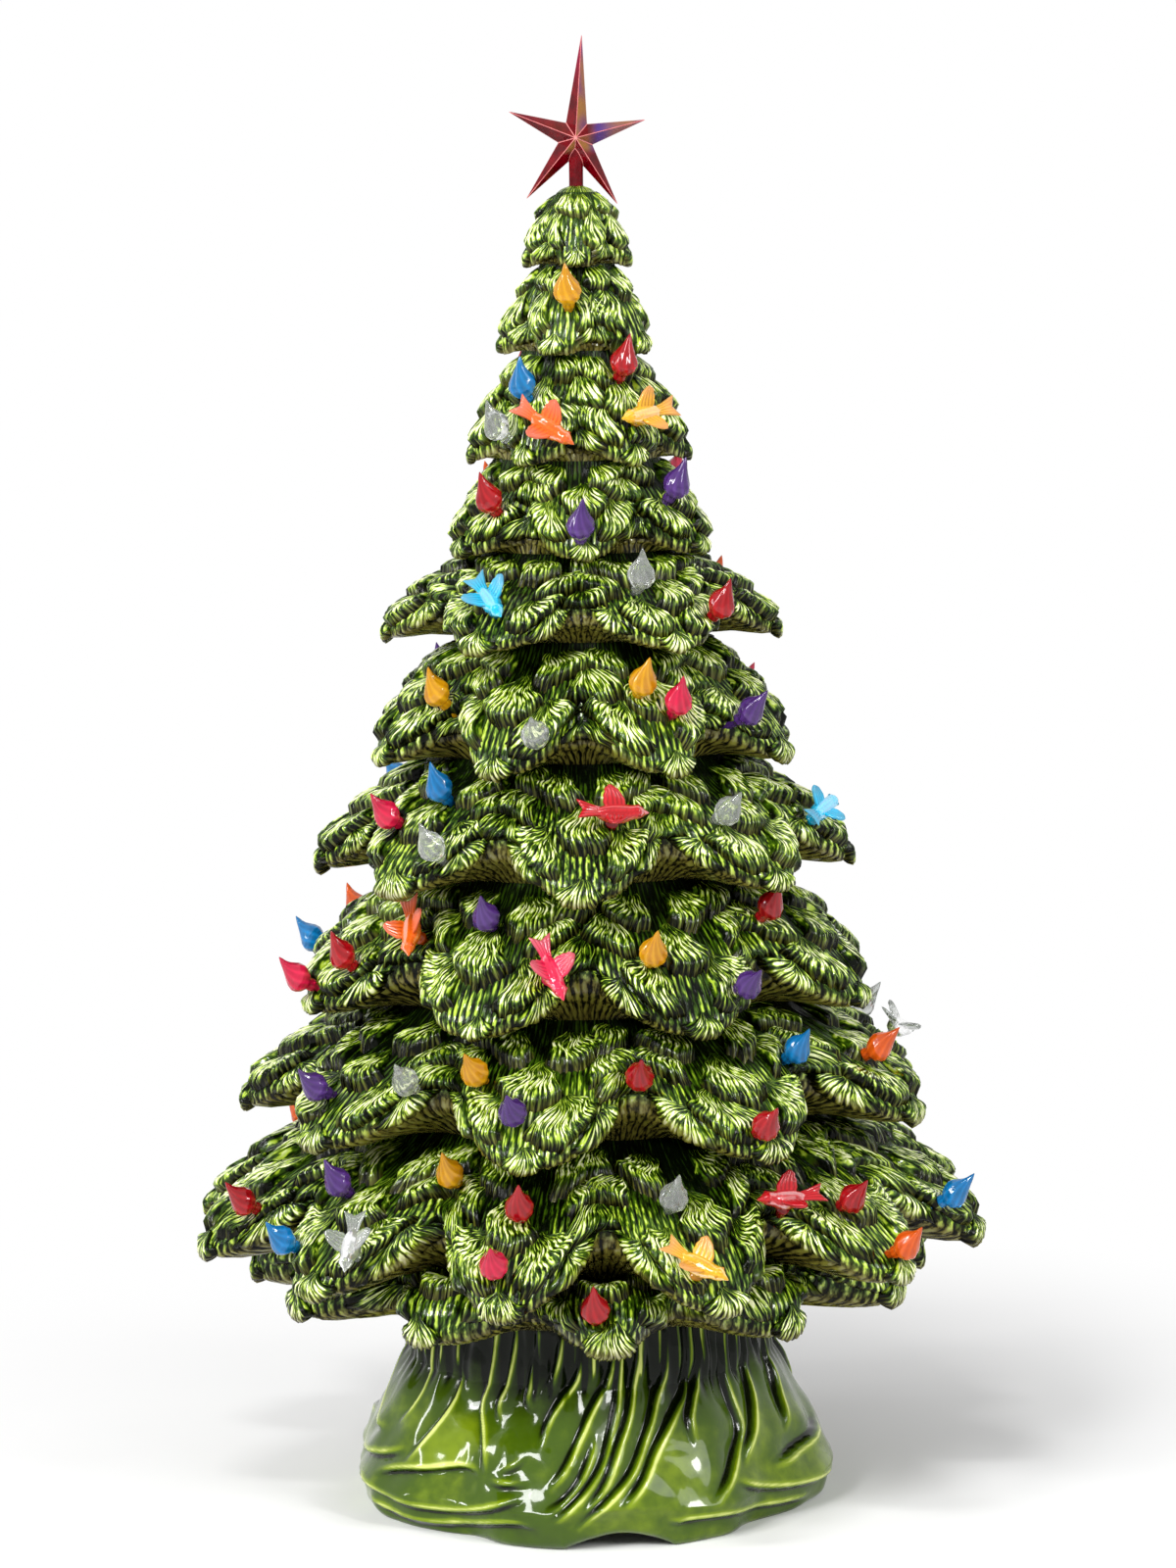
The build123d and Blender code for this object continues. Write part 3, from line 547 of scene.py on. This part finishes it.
def flameGrid():
    heights, radii = np.array(flame["heights"]), np.array(flame["radii"])
    corner = np.arange(len(heights))
    way = np.linspace(0, corner[-1], flame["rings"])
    z, r = np.interp(way, corner, heights), np.interp(way, corner, radii)
    columns = flame["columns"]
    points, faces = ringWall(z, r, columns)
    theta = np.tile(2 * np.pi * np.arange(columns) / columns, len(z))
    zz = points[:, 2]
    wave = 0.5 + 0.5 * np.cos(flame["ribs"] * (theta + flame["twist"] * zz / 15))
    ribs = 1 - flame["ribDepth"] * step(2.6, 5.5, zz) * (1 - step(15.5, 18, zz)) * wave ** 2
    points[:, :2] *= ribs[:, None]
    points[:, 0] += flame["bend"] * np.clip(zz - 2.5, 0, 20) ** 2
    # the third value is painted light: bright on the rib crests and round the bulge, dark in the rib grooves
    return points, faces, (0.2 + 0.8 * (1 - wave) ** 2) * (0.45 + 0.55 * np.exp(-((zz - 5) / 4) ** 2))


def upright(axis, forward):  # rows are the local axes
    x = forward - axis * (forward @ axis)
    x = x / np.linalg.norm(x)
    return np.stack([x, np.cross(axis, x), axis])


flamePoints, flameFaces, flamePaintedLight = flameGrid()
for key in ("red", "pink", "yellow", "orange", "blue", "purple", "clear"):
    parts = []
    for k, (name, seat, axis) in enumerate(p for p in pegs if p[0] == "lights_" + key):
        spin = k * 2.4
        forward = np.array([0.2 * math.cos(spin), 0.2 * math.sin(spin), 1.0])
        parts.append((flamePoints @ upright(axis, forward) + seat, flameFaces, flamePaintedLight))
    points, faces, painted_light = joined(parts)
    look = plastic("flame_" + key, plasticColours[key], 0.85 if key == "clear" else 0.4)
    piece = buildMesh("flames_" + key, points * mm, faces, look, {"painted_light": painted_light})
    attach(piece, "tree")
    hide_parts("lights_" + key)
print("flames done")

bird = {"x": [-9.2, -8.2, -6, -3, 0.5, 3.5, 5.6, 7.2, 8.8, 10.0, 10.9, 11.6, 12.6, 13.5],
        "middle": [7.2, 7.1, 6.8, 6.6, 6.6, 6.9, 7.5, 8.2, 8.6, 8.6, 8.5, 8.4, 8.3, 8.2],
        "half": [0.3, 1.3, 2.5, 3.5, 3.9, 3.7, 3.2, 2.9, 2.9, 2.5, 1.9, 1.2, 0.75, 0.1],
        "tail": ([(-4, -1.9), (-9, -2.6), (-16, -4.7)], [(-4, 1.9), (-9, 2.6), (-16, 4.7)]),
        "wing": ([(-4.2, 1.2), (-4.9, 5.6), (-4.4, 9.2), (-3.1, 11.2)],
                 [(4.4, 1.2), (3.9, 5.6), (1.0, 9.4), (-2.2, 11.3)]),
        "tailThick": 1.7, "wingThick": 1.5, "tailRise": 10, "wingRise": 32, "feathers": 5}


def feathered(edges, thick, feathers, columns=31, rows=18):
    # a plate between two edge curves, ribbed from root to tip
    vv, uu = np.meshgrid(np.linspace(0, 1, rows), np.linspace(0, 1, columns), indexing="ij")
    side = [np.array(e, dtype=float) for e in edges]
    at = lambda c, k: np.interp(vv[:, :1], np.linspace(0, 1, len(c)), c[:, k])
    x, y = [at(side[0], k) * (1 - uu) + at(side[1], k) * uu for k in (0, 1)]
    soft = np.sqrt(np.clip(1 - (2 * uu - 1) ** 8, 0.02, 1)) * np.sqrt(np.clip(1 - vv ** 10, 0.02, 1))
    rib = 0.35 * np.abs(np.sin(np.pi * feathers * uu)) * step(0.05, 0.4, vv) * soft
    top = np.stack([x, y, thick / 2 * soft + rib - 0.15], axis=-1).reshape(-1, 3)
    low = np.stack([x, y, -thick / 2 * soft], axis=-1).reshape(-1, 3)
    faces, count = gridFaces(rows, columns), rows * columns
    tip = (rows - 1) * columns
    edge = np.concatenate([np.arange(columns), np.arange(1, rows) * columns + columns - 1,
                           tip + np.arange(columns - 2, -1, -1), np.arange(rows - 2, 0, -1) * columns])
    after = np.roll(edge, -1)
    wall = np.stack([after, edge, edge + count, after + count], axis=-1)
    # the vane pattern serves as painted light, lighter along each feather
    vane = np.abs(np.sin(np.pi * feathers * uu)).ravel()
    faces = np.concatenate([faces, faces[:, ::-1] + count, wall])
    return np.concatenate([top, low]), faces, np.tile(vv.ravel(), 2), np.tile(vane, 2)


def birdGrid():
    x = np.interp(np.linspace(0, 1, 56), np.linspace(0, 1, len(bird["x"])), bird["x"])
    half = np.interp(x, bird["x"], bird["half"])
    columns = 40
    theta = 2 * np.pi * np.arange(columns) / columns
    xx, tt = np.meshgrid(x, theta, indexing="ij")
    scaly = np.abs(np.sin(xx * 1.9 + 1.5 * np.sin(tt * 6))) * np.abs(np.sin(tt * 6))
    rr = half[:, None] + 0.28 * scaly * step(-7, -4, xx) * (1 - step(4, 6.5, xx))
    middle = np.interp(xx, bird["x"], bird["middle"])
    body = np.stack([xx, rr * np.sin(tt), middle + rr * np.cos(tt)], axis=-1).reshape(-1, 3)
    # painted light, lighter on the raised scales
    painted_light = (0.35 + 0.65 * scaly).ravel()
    parts = [(body, gridFaces(len(x), columns, wrapColumns=True), np.zeros(len(body)), painted_light)]
    post = ringWall([-9, -9, 0, 0, 1.2, 1.2, 5.0], [0.05, 2.0, 2.0, 2.7, 2.7, 2.0, 2.0])
    parts.append((*post, *np.zeros((2, len(post[0])))))
    for side in (1, -1):  # eyes
        eye = ringWall([-0.7, -0.5, 0, 0.35, 0.5], [0.05, 0.55, 0.7, 0.5, 0.05], 12)
        points = eye[0][:, [0, 2, 1]] * [1, side, 1] + [9.2, side * 2.55, 9.5]
        parts.append((points, eye[1][:, ::-side], *np.zeros((2, len(points)))))
    p, faces, thin, vane = feathered(bird["tail"], bird["tailThick"], bird["feathers"])
    p[:, 0] += 2.2 * step(-11, -16, p[:, 0]) * np.clip(1 - np.abs(p[:, 1]) / 4.2, 0, 1)
    k = math.radians(bird["tailRise"])
    tail = np.stack([p[:, 0] * math.cos(k), p[:, 1], 6.6 - p[:, 0] * math.sin(k) + p[:, 2]], axis=-1)
    parts.append((tail, faces, step(0.2, 0.9, thin), vane))
    for side in (1, -1):
        p, faces, thin, vane = feathered(bird["wing"], bird["wingThick"], bird["feathers"])
        p[:, 0] -= 0.5 * np.abs(np.sin(p[:, 1] * 1.15)) * (p[:, 0] < -2.5)
        k = math.radians(bird["wingRise"])
        y = p[:, 1] * math.cos(k) - p[:, 2] * math.sin(k)
        wing = np.stack([p[:, 0], side * y, 7.4 + p[:, 1] * math.sin(k) + p[:, 2] * math.cos(k)], axis=-1)
        parts.append((wing, faces[:, ::side], step(0.15, 0.8, thin), vane))
    return joined(parts)


birdPoints, birdFaces, birdThin, birdPaintedLight = birdGrid()
birdLooks = {key: plastic("bird_" + key, colour, 0.85 if key == "clear" else 0.3, fading=key != "red")
             for key, colour in plasticColours.items() if key not in ("blue", "purple")}
for name, seat, axis in pegs:
    if not name.startswith("bird_"):
        continue
    solid = np.array([v.co[:] for v in nodes[name].data.vertices]) / mm - seat
    flat = solid - np.outer(solid @ axis, axis)
    far = np.linalg.norm(flat, axis=1)
    tailWay = flat[far > far.max() - 0.4].mean(axis=0)
    key = [c for c in plasticColours if c in name.split("_")][0]
    look = birdLooks["aqua" if key == "blue" else key]
    piece = buildMesh(name + "_cast", (birdPoints @ upright(axis, -tailWay) + seat) * mm, birdFaces, look,
                      {"thin": birdThin, "painted_light": birdPaintedLight})
    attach(piece, name)
    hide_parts(name)
print("birds done")


def starLook():
    # crimson, with an iridescent coating painted as a sheen that turns gold and violet on the facets to the
    # right
    look, flow, shader = material("star_plastic")
    gleam, streak = noise(flow, 60.0, 1.0), noise(flow, 240.0, 2.0)
    facet = flow.add("ShaderNodeNewGeometry", out="True Normal")
    facing = flow.add("ShaderNodeSeparateXYZ", {}, {"Vector": facet})
    spot = flow.add("ShaderNodeSeparateXYZ", {}, {"Vector": place(flow)})
    high = flow.add("ShaderNodeSeparateXYZ", {}, {"Vector": place(flow)}, out=2)
    red = streak.ramp(0.3, 0.7).mix(rgb(84, 0, 8), rgb(122, 0, 14))
    red = high.ramp(0.585, 0.61).mix(red, rgb(150, 0, 60))
    # painted sheen of the iridescent coating, gold and violet, on facets facing right
    film_and_sheen = gleam.ramp(0.35, 0.65).mix(rgb(168, 118, 58), rgb(120, 62, 120))
    film_and_sheen = (spot.ramp(0.004, 0.009) * spot.ramp(0.018, 0.009)).mix(film_and_sheen, rgb(78, 54, 138))
    share = facing.ramp(0.1, 0.5).maths("MAXIMUM", spot.ramp(0.005, 0.01)) * high.ramp(0.561, 0.565)
    connect(shader, colour=(share * 0.85).mix(red, film_and_sheen), rough=streak.ramp(0.3, 0.7, 0.05, 0.12),
            normal=bump(flow, streak, 0.05, 0.0003))
    shader.inputs["Transmission Weight"].default_value = 0.3
    shader.inputs["Specular IOR Level"].default_value = 0.1
    return look


def starEdgeHighlight():
    # painted highlight: the rounded edges of the facets pale pink
    look, flow, shader = material("star_edge_highlight")
    streak = noise(flow, 240.0, 2.0)
    connect(shader, colour=streak.ramp(0.3, 0.7).mix(rgb(196, 96, 100), rgb(214, 132, 128)),
            rough=streak.ramp(0.3, 0.7, 0.1, 0.2))
    return look


def softened(name, node, looks, angle, width):  # the solid's own facets with their edges rounded
    mesh = bmesh.new()
    mesh.from_mesh(node.data)
    bmesh.ops.remove_doubles(mesh, verts=mesh.verts, dist=1e-6)
    bmesh.ops.dissolve_limit(mesh, angle_limit=math.radians(2), verts=mesh.verts, edges=mesh.edges)
    sharp = [e for e in mesh.edges if e.is_manifold and e.calc_face_angle(0) > math.radians(angle)]
    bmesh.ops.bevel(mesh, geom=sharp, offset=width * mm, segments=2, affect="EDGES", profile=0.5, material=1)
    data = bpy.data.meshes.new(name)
    mesh.to_mesh(data)
    mesh.free()
    for look in looks:
        data.materials.append(look)
    made = bpy.data.objects.new(name, data)
    bpy.context.scene.collection.objects.link(made)
    return made


starEdges = {"angle": 20, "width": 0.22}
star = softened("star_cast", nodes["star"], [starLook(), starEdgeHighlight()], **starEdges)
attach(star, "star")
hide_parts("star")

# Base: a draped skirt with its deck, collar and inside, as one closed skin
base = {"foot": 95.0, "bulge": 100.5, "bulgeHeight": 16.0, "waist": 77.0, "waistHeight": 62.0, "top": 75.0,
        "seat": 88.0, "fold": 4.5, "foldTop": 1.0, "wall": 6.0, "deck": 6.0, "collar": 64.5,
        "collarWall": 5.0, "collarHeight": 8.0, "hole": 12.2, "arches": (277, 157, 37), "archWidth": 46.0,
        "archRise": 7.0, "lip": 2.2, "lipWidth": 7.0, "lipLine": 1.8, "dip": 2.6, "dipWidth": 5.0,
        "creaseLine": 0.7, "lineWidth": 1.1, "most": 4.5, "columns": 768, "cord": (90, 15.0, 4.8)}
creases = [  # the drape's folds on the front, as azimuth and height
    [(294, 84), (293, 67), (288, 55), (282, 38), (278, 28), (272, 18), (265, 6)],
    [(302, 84), (301, 62), (292, 50), (286, 39), (282, 28), (276, 14)],
    [(306, 84), (305, 65), (298, 53), (297, 45), (298, 37)],
    [(316, 84), (315, 64), (315, 51), (315, 39), (308, 29), (298, 16)],
    [(328, 84), (326, 57), (321, 44), (315, 35), (311, 26)],
    [(341, 84), (339, 55), (334, 42), (331, 33)],
    [(355, 32), (338, 29), (321, 24)],
    [(306, 23), (316, 16), (332, 12), (352, 10)],
    [(287, 9), (297, 11), (312, 8), (339, 4)],
    [(268, 84), (266, 67), (261, 59), (257, 49), (256, 38)],
    [(277, 84), (276, 67), (270, 56), (266, 43), (263, 33), (258, 23)],
    [(279, 84), (278, 61), (275, 46), (272, 32), (266, 20), (259, 12)],
    [(271, 47), (269, 35), (265, 23), (257, 15)],
    [(285, 84), (283, 67), (280, 52), (276, 40), (273, 26), (267, 13)],
    [(239, 84), (237, 62), (235, 53), (240, 41), (242, 26)],
    [(208, 20), (219, 25), (228, 27), (237, 30), (242, 26)],
    [(242, 26), (249, 25), (256, 27)],
    [(245, 30), (251, 32), (254, 39)],
    [(196, 16), (215, 12), (230, 10), (243, 14), (255, 22)],
    [(200, 7), (221, 3), (236, 5), (250, 11), (258, 9)],
    [(180, 84), (178, 60), (188, 44), (195, 35), (205, 35)],
    [(186, 22), (207, 26), (218, 32)],
    [(227, 84), (226, 61), (226, 51), (222, 39), (217, 26)],
    [(213, 84), (212, 62), (213, 50), (208, 39)],
    [(253, 84), (251, 64), (250, 56), (254, 52)],
    [(246, 84), (244, 65), (241, 54), (245, 46)],
    [(261, 84), (259, 70), (256, 60)],
    [(322, 84), (320, 66), (323, 56)],
    [(334, 84), (333, 68), (336, 60)],
    [(200, 84), (199, 64), (203, 55)],
]


def baseFold(az):
    a = np.radians(az)
    return 0.55 * np.cos(5 * a + 0.9) + 0.3 * np.cos(8 * a + 2.1) + 0.15 * np.cos(13 * a)


def baseRadius(az, z):
    heights = [0, base["bulgeHeight"], 0.62 * base["waistHeight"], base["waistHeight"], base["seat"]]
    between = (base["waist"] + base["bulge"]) / 2 + 1.5
    radii = [base["foot"], base["bulge"], between, base["waist"], base["top"]]
    depths = [base["fold"], base["fold"], (base["fold"] + base["foldTop"]) / 2, base["foldTop"], 0]
    return np.interp(z, heights, radii) + np.interp(z, heights, depths) * baseFold(az)


def smoothLine(line):  # a fold's corners cut twice, so that it runs in a curve
    line = np.array(line, dtype=float)
    for again in range(2):
        near, far = line[:-1] * 0.75 + line[1:] * 0.25, line[:-1] * 0.25 + line[1:] * 0.75
        line = np.concatenate([line[:1], np.stack([near, far], axis=1).reshape(-1, 2), line[-1:]])
    return line


def drape(az, z):
    # each fold hangs over the next: a rolled lip on its left hand, and a crease below the lip
    out, crease_shade, lip = np.zeros(az.shape), np.zeros(az.shape), np.zeros(az.shape)
    around = math.radians(1) * 88.0
    for back in (0, 180):
        for corners in creases:
            line = smoothLine(corners)
            aside = np.abs((az[0] - back - line[:, 0].mean() + 180) % 360 - 180)
            window = aside < np.ptp(line[:, 0]) / 2 + 20
            x = ((az[:, window] - back - line[0, 0] + 180) % 360 - 180) * around
            h = z[:, window]
            near, side, way = np.full(x.shape, 99.0), np.zeros(x.shape), np.zeros(x.shape)
            steps = np.linalg.norm(np.diff(line * [around, 1], axis=0), axis=1)
            runs = np.concatenate([[0], np.cumsum(steps)])
            for i in range(len(steps)):
                x0, z0 = (line[i, 0] - line[0, 0]) * around, line[i, 1]
                dx, dz = (line[i + 1, 0] - line[i, 0]) * around, line[i + 1, 1] - z0
                k = np.clip(((x - x0) * dx + (h - z0) * dz) / steps[i] ** 2, 0, 1)
                d = np.hypot(x - x0 - k * dx, h - z0 - k * dz)
                closer = d < near
                near = np.where(closer, d, near)
                side = np.where(closer, np.sign(dx * (h - z0) - dz * (x - x0)), side)
                way = np.where(closer, runs[i] + k * steps[i], way)
            fade = step(0, 14, runs[-1] - way) * (step(0, 12, way) if corners[0][1] < 80 else 1)
            s = near * side
            over = np.where(s > 0, base["lip"] * np.exp(-s / base["lipWidth"]),
                            -base["dip"] * np.exp(s / base["dipWidth"]))
            out[:, window] += fade * over * step(0, 1.2, near) * (1 - 0.4 * step(50, 80, h))
            # painted shade: a dark line along the crease, and a painted shadow fading out below the lip
            dark = np.exp(-((s + base["creaseLine"]) / base["lineWidth"]) ** 2)
            dark = np.maximum(dark, np.where(s < 0, 0.4 * np.exp(s / 3.0), 0))
            crease_shade[:, window] = np.maximum(crease_shade[:, window], fade * dark)
            # painted highlight: a pale line along the lit lip
            pale = np.exp(-((s - base["lipLine"]) / base["lineWidth"]) ** 2)
            lip[:, window] = np.maximum(lip[:, window], fade * pale)
    limit = base["most"]
    a, h = np.radians(az), z / 9.0
    lumps = np.sin(11 * a + 1.3 * h) * np.sin(7 * a - 0.9 * h + 1)
    lumps += 0.6 * np.sin(23 * a + 0.8 * h) * np.sin(1.7 * h - 5 * a)
    pleats = np.sin(61 * a + 2 * np.sin(7 * a)) * step(48, 72, z)
    # painted shade in the troughs of the pleats
    crease_shade = np.maximum(crease_shade, 0.8 * step(0.1, 0.9, -pleats))
    # painted highlight on some of the pleats' crests
    lip = np.maximum(lip, 1.3 * step(0.8, 1.0, pleats) * step(-0.2, 0.6, np.sin(5 * a + 2)))
    return limit * np.tanh((out + 0.9 * lumps + 0.7 * pleats) / limit), crease_shade, lip * (1 - crease_shade)


def baseSkin():
    columns = base["columns"]
    az = 360 * np.arange(columns) / columns
    arch = np.zeros(columns)
    for mid in base["arches"]:
        d = (az - mid + 180) % 360 - 180
        x = np.sin(np.radians(d)) * base["foot"]
        rise = base["archRise"] * np.clip(1 - (2 * x / base["archWidth"]) ** 2, 0, 1)
        arch = np.maximum(arch, np.where(np.abs(d) < 60, rise, 0))
    lifted = lambda z: z + arch[None, :] * np.clip(1 - z / 40, 0, 1) ** 1.5
    zOut = np.concatenate([[0, 0.3, 0.9, 1.8, 3.0], np.linspace(4, base["seat"] - 2, 88),
                           [base["seat"] - 0.8]])
    zz, aa = np.meshgrid(zOut, az, indexing="ij")
    out, crease_shade, lip = drape(aa, zz)
    hem = 1.6 * np.clip(1 - zz / 3.0, 0, 1) ** 2
    loops = [(baseRadius(aa, zz) + out - hem, lifted(zz), crease_shade, lip)]
    top, inner = base["seat"], base["collar"] - base["collarWall"]
    rim = top + base["collarHeight"]
    for radius, height in ((base["top"] - 0.8, top), (base["collar"], top), (base["collar"], rim - 0.8),
                           (base["collar"] - 0.8, rim), (inner + 0.8, rim), (inner, rim - 0.8), (inner, top),
                           (base["hole"], top), (base["hole"], top - base["deck"])):
        flat = np.ones((1, columns))
        loops.append((flat * radius, flat * height, flat * 0.3, flat * 0.3))
    zIn = np.concatenate([[top - base["deck"]], np.linspace(top - base["deck"] - 2, 6, 20), [1.0, 0.0]])
    zz, aa = np.meshgrid(zIn, az, indexing="ij")
    loops.append((baseRadius(aa, zz) - base["wall"], lifted(zz), *np.full((2, *zz.shape), 0.3)))
    r, z, crease_shade, lip = [np.concatenate([l[k] for l in loops]) for k in range(4)]
    a = np.radians(az)[None, :]
    points = np.stack([r * np.cos(a), r * np.sin(a), z], axis=-1).reshape(-1, 3)
    return points, gridFaces(len(r), columns, wrapColumns=True, wrapRows=True), crease_shade.ravel(), lip.ravel()


def baseGlaze():
    look, flow, shader = material("base_glaze")
    crease_shade, lip = fact(flow, "crease_shade"), fact(flow, "lip")
    cloud, speck = noise(flow, 24.0), noise(flow, 170.0)
    high = flow.add("ShaderNodeSeparateXYZ", {}, {"Vector": place(flow)}, out=2)
    shade = high.ramp(0.04, 0.076)
    # painted shade in the creases and on the top, where the tree above shades it; painted highlight on the
    # lips
    level = 0.48 - crease_shade * 0.6 + lip * (shade * 0.6 + 0.45) - shade * 0.5
    level = level + (cloud - 0.5) * 0.8 + (speck - 0.5) * 0.25
    colour = level.ramp(-0.05, 0.42).mix(rgb(7, 14, 3), rgb(60, 84, 6))
    colour = level.ramp(0.4, 0.72).mix(colour, rgb(116, 138, 14))
    # pale lime at the top of the level, mostly the painted highlight of the lips
    colour = level.ramp(0.7, 1.0).mix(colour, rgb(204, 214, 116))
    connect(shader, colour=colour, rough=speck.ramp(0.3, 0.7, 0.1, 0.2), coat=0.45 - shade * 0.38,
            normal=bump(flow, speck, 0.1, 0.0008))
    shader.inputs["Specular IOR Level"].default_value = 0.1
    shader.inputs["Coat Roughness"].default_value = 0.05
    return look


points, faces, crease_shade, lip = baseSkin()
skirt = buildMesh("base_drape", points * mm, faces, baseGlaze(), {"crease_shade": crease_shade, "lip": lip})
turn, height, radius = base["cord"]
bpy.ops.mesh.primitive_cylinder_add(radius=radius * mm, depth=0.06, vertices=48)
drill = bpy.context.object
sideways = Matrix.Translation((0.097, 0, height * mm)) @ Matrix.Rotation(math.radians(90), 4, "Y")
drill.matrix_world = Matrix.Rotation(math.radians(turn), 4, "Z") @ sideways
cut = skirt.modifiers.new("cord_hole", "BOOLEAN")
cut.object, cut.operation, cut.solver = drill, "DIFFERENCE", "EXACT"
bpy.context.view_layer.objects.active = skirt
bpy.ops.object.modifier_apply(modifier=cut.name)
bpy.data.objects.remove(drill)
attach(skirt, "base")
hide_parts("base_skirt")
print("base done")


def lampFinish(name, dark, light, rough, metal=0.0, clear=0.0):
    look, flow, shader = material(name)
    grain = noise(flow, 120.0, 4.0)
    connect(shader, colour=grain.ramp(0.3, 0.7).mix(rgb(*dark), rgb(*light)),
            rough=grain.ramp(0.25, 0.75, *rough), normal=bump(flow, grain, 0.15, 0.0003))
    shader.inputs["Metallic"].default_value = metal
    shader.inputs["Transmission Weight"].default_value = clear
    return look


lampFinishes = {
    "socket_body": lampFinish("socket_plastic", (206, 202, 190), (226, 224, 214), (0.4, 0.6)),
    "socket_spring_clips": lampFinish("spring_steel", (120, 120, 124), (168, 168, 172), (0.25, 0.45), 1.0),
    "socket_screw_shell": lampFinish("screw_brass", (168, 128, 60), (204, 164, 88), (0.25, 0.4), 1.0),
    "socket_centre_contact": lampFinish("contact_brass", (158, 118, 56), (196, 152, 80), (0.3, 0.5), 1.0),
    "bulb_glass": lampFinish("bulb_glass", (236, 238, 240), (246, 248, 250), (0.02, 0.06), 0.0, 0.97),
    "bulb_stem": lampFinish("stem_glass", (214, 222, 224), (236, 240, 242), (0.1, 0.25), 0.0, 0.85),
    "bulb_cap": lampFinish("cap_brass", (178, 140, 66), (214, 176, 100), (0.2, 0.4), 1.0),
    "bulb_insulator": lampFinish("black_bead", (12, 12, 14), (30, 30, 34), (0.15, 0.3)),
    "bulb_contact": lampFinish("solder", (140, 140, 140), (182, 182, 180), (0.3, 0.5), 1.0),
    "bulb_lead_wires": lampFinish("lead_wire", (140, 132, 120), (176, 168, 152), (0.3, 0.45), 1.0),
    "bulb_filament": lampFinish("tungsten", (64, 62, 62), (98, 96, 94), (0.4, 0.6), 1.0),
}
for name, look in lampFinishes.items():
    nodes[name].data.materials.clear()
    nodes[name].data.materials.append(look)
print("lamp done")

floorLook, flow, shader = material("floor")
grain = noise(flow, 6.0)
connect(shader, colour=grain.ramp(0.3, 0.7).mix((0.93, 0.93, 0.93, 1), (0.95, 0.95, 0.95, 1)))
shader.inputs["Roughness"].default_value = 0.9
shader.inputs["Specular IOR Level"].default_value = 0.1
away = flow.add("ShaderNodeVectorMath", {"operation": "LENGTH"}, {0: place(flow)}, out=1)
plain = flow.add("ShaderNodeLightPath", out="Is Camera Ray") * away.ramp(0.16, 0.5)
white = flow.add("ShaderNodeEmission", {}, {"Color": (1, 1, 1, 1), "Strength": 1.0})
sheet = flow.add("ShaderNodeMixShader", {}, {0: plain, 1: flow, 2: white})
floorLook.node_tree.links.new(sheet.socket, floorLook.node_tree.nodes["Material Output"].inputs["Surface"])
sheetCorners = np.array([[-9, -9, 0], [9, -9, 0], [9, 9, 0], [-9, 9, 0]])
floor = buildMesh("floor", sheetCorners, np.array([[0, 1, 2, 3]]), floorLook)
floor.location.z = -0.0002


def lamp(name, kind, spot, power, **settings):
    light = bpy.data.lights.new(name, kind)
    light.energy = power
    for key, value in settings.items():
        setattr(light, key, value)
    made = bpy.data.objects.new(name, light)
    made.location = spot
    made.rotation_euler = (Vector((0, 0, 0.3)) - Vector(spot)).to_track_quat("-Z", "Y").to_euler()
    bpy.context.scene.collection.objects.link(made)


lamp("key_sun", "SUN", (-1.0, -1.8, 1.75), 1.5, angle=0.25)
lamp("fill_sun", "SUN", (1.8, -1.2, 1.4), 0.6, angle=0.4)
lamp("window_left", "AREA", (-1.1, -1.3, 1.2), 14, shape="RECTANGLE", size=0.28, size_y=0.5)
lamp("window_right", "AREA", (1.2, -1.3, 1.0), 11, shape="RECTANGLE", size=0.22, size_y=0.42)
lamp("window_high", "AREA", (-0.3, -1.2, 1.9), 8, shape="RECTANGLE", size=0.4, size_y=0.14)
lamp("window_far", "AREA", (-1.9, -0.5, 0.9), 9, shape="RECTANGLE", size=0.14, size_y=0.6)
world = bpy.data.worlds.new("surroundings")
bpy.context.scene.world = world
world.use_nodes = True
backdrop = world.node_tree.nodes["Background"]
flow = Flow(world.node_tree, backdrop.outputs[0])
rays = ("Is Camera Ray", "Is Glossy Ray", "Is Transmission Ray")
paths = [flow.add("ShaderNodeLightPath", out=name) for name in rays]
seen = paths[0].maths("MAXIMUM", paths[1]).maths("MAXIMUM", paths[2])
backdrop.inputs["Color"].default_value = (1, 1, 1, 1)
world.node_tree.links.new((seen * 0.62 + 0.38).socket, backdrop.inputs["Strength"])

view = {"spot": (0, -1.8, 0.53), "aim": (0, 0, 0.3009), "roll": -0.68, "focal": 4429.8, "shift": 0.003,
        "tall": 1600}
lens = bpy.data.cameras.new("camera")
lens.sensor_fit = "VERTICAL"
lens.sensor_height = 24
lens.lens = view["focal"] / view["tall"] * 24
lens.shift_x = view["shift"]
eye = bpy.data.objects.new("camera", lens)
gaze = (Vector(view["aim"]) - Vector(view["spot"])).to_track_quat("-Z", "Y").to_matrix().to_4x4()
roll = Matrix.Rotation(math.radians(view["roll"]), 4, "Z")
eye.matrix_world = Matrix.Translation(view["spot"]) @ gaze @ roll
bpy.context.scene.collection.objects.link(eye)
bpy.context.scene.camera = eye
bpy.context.scene.view_settings.view_transform = "Standard"
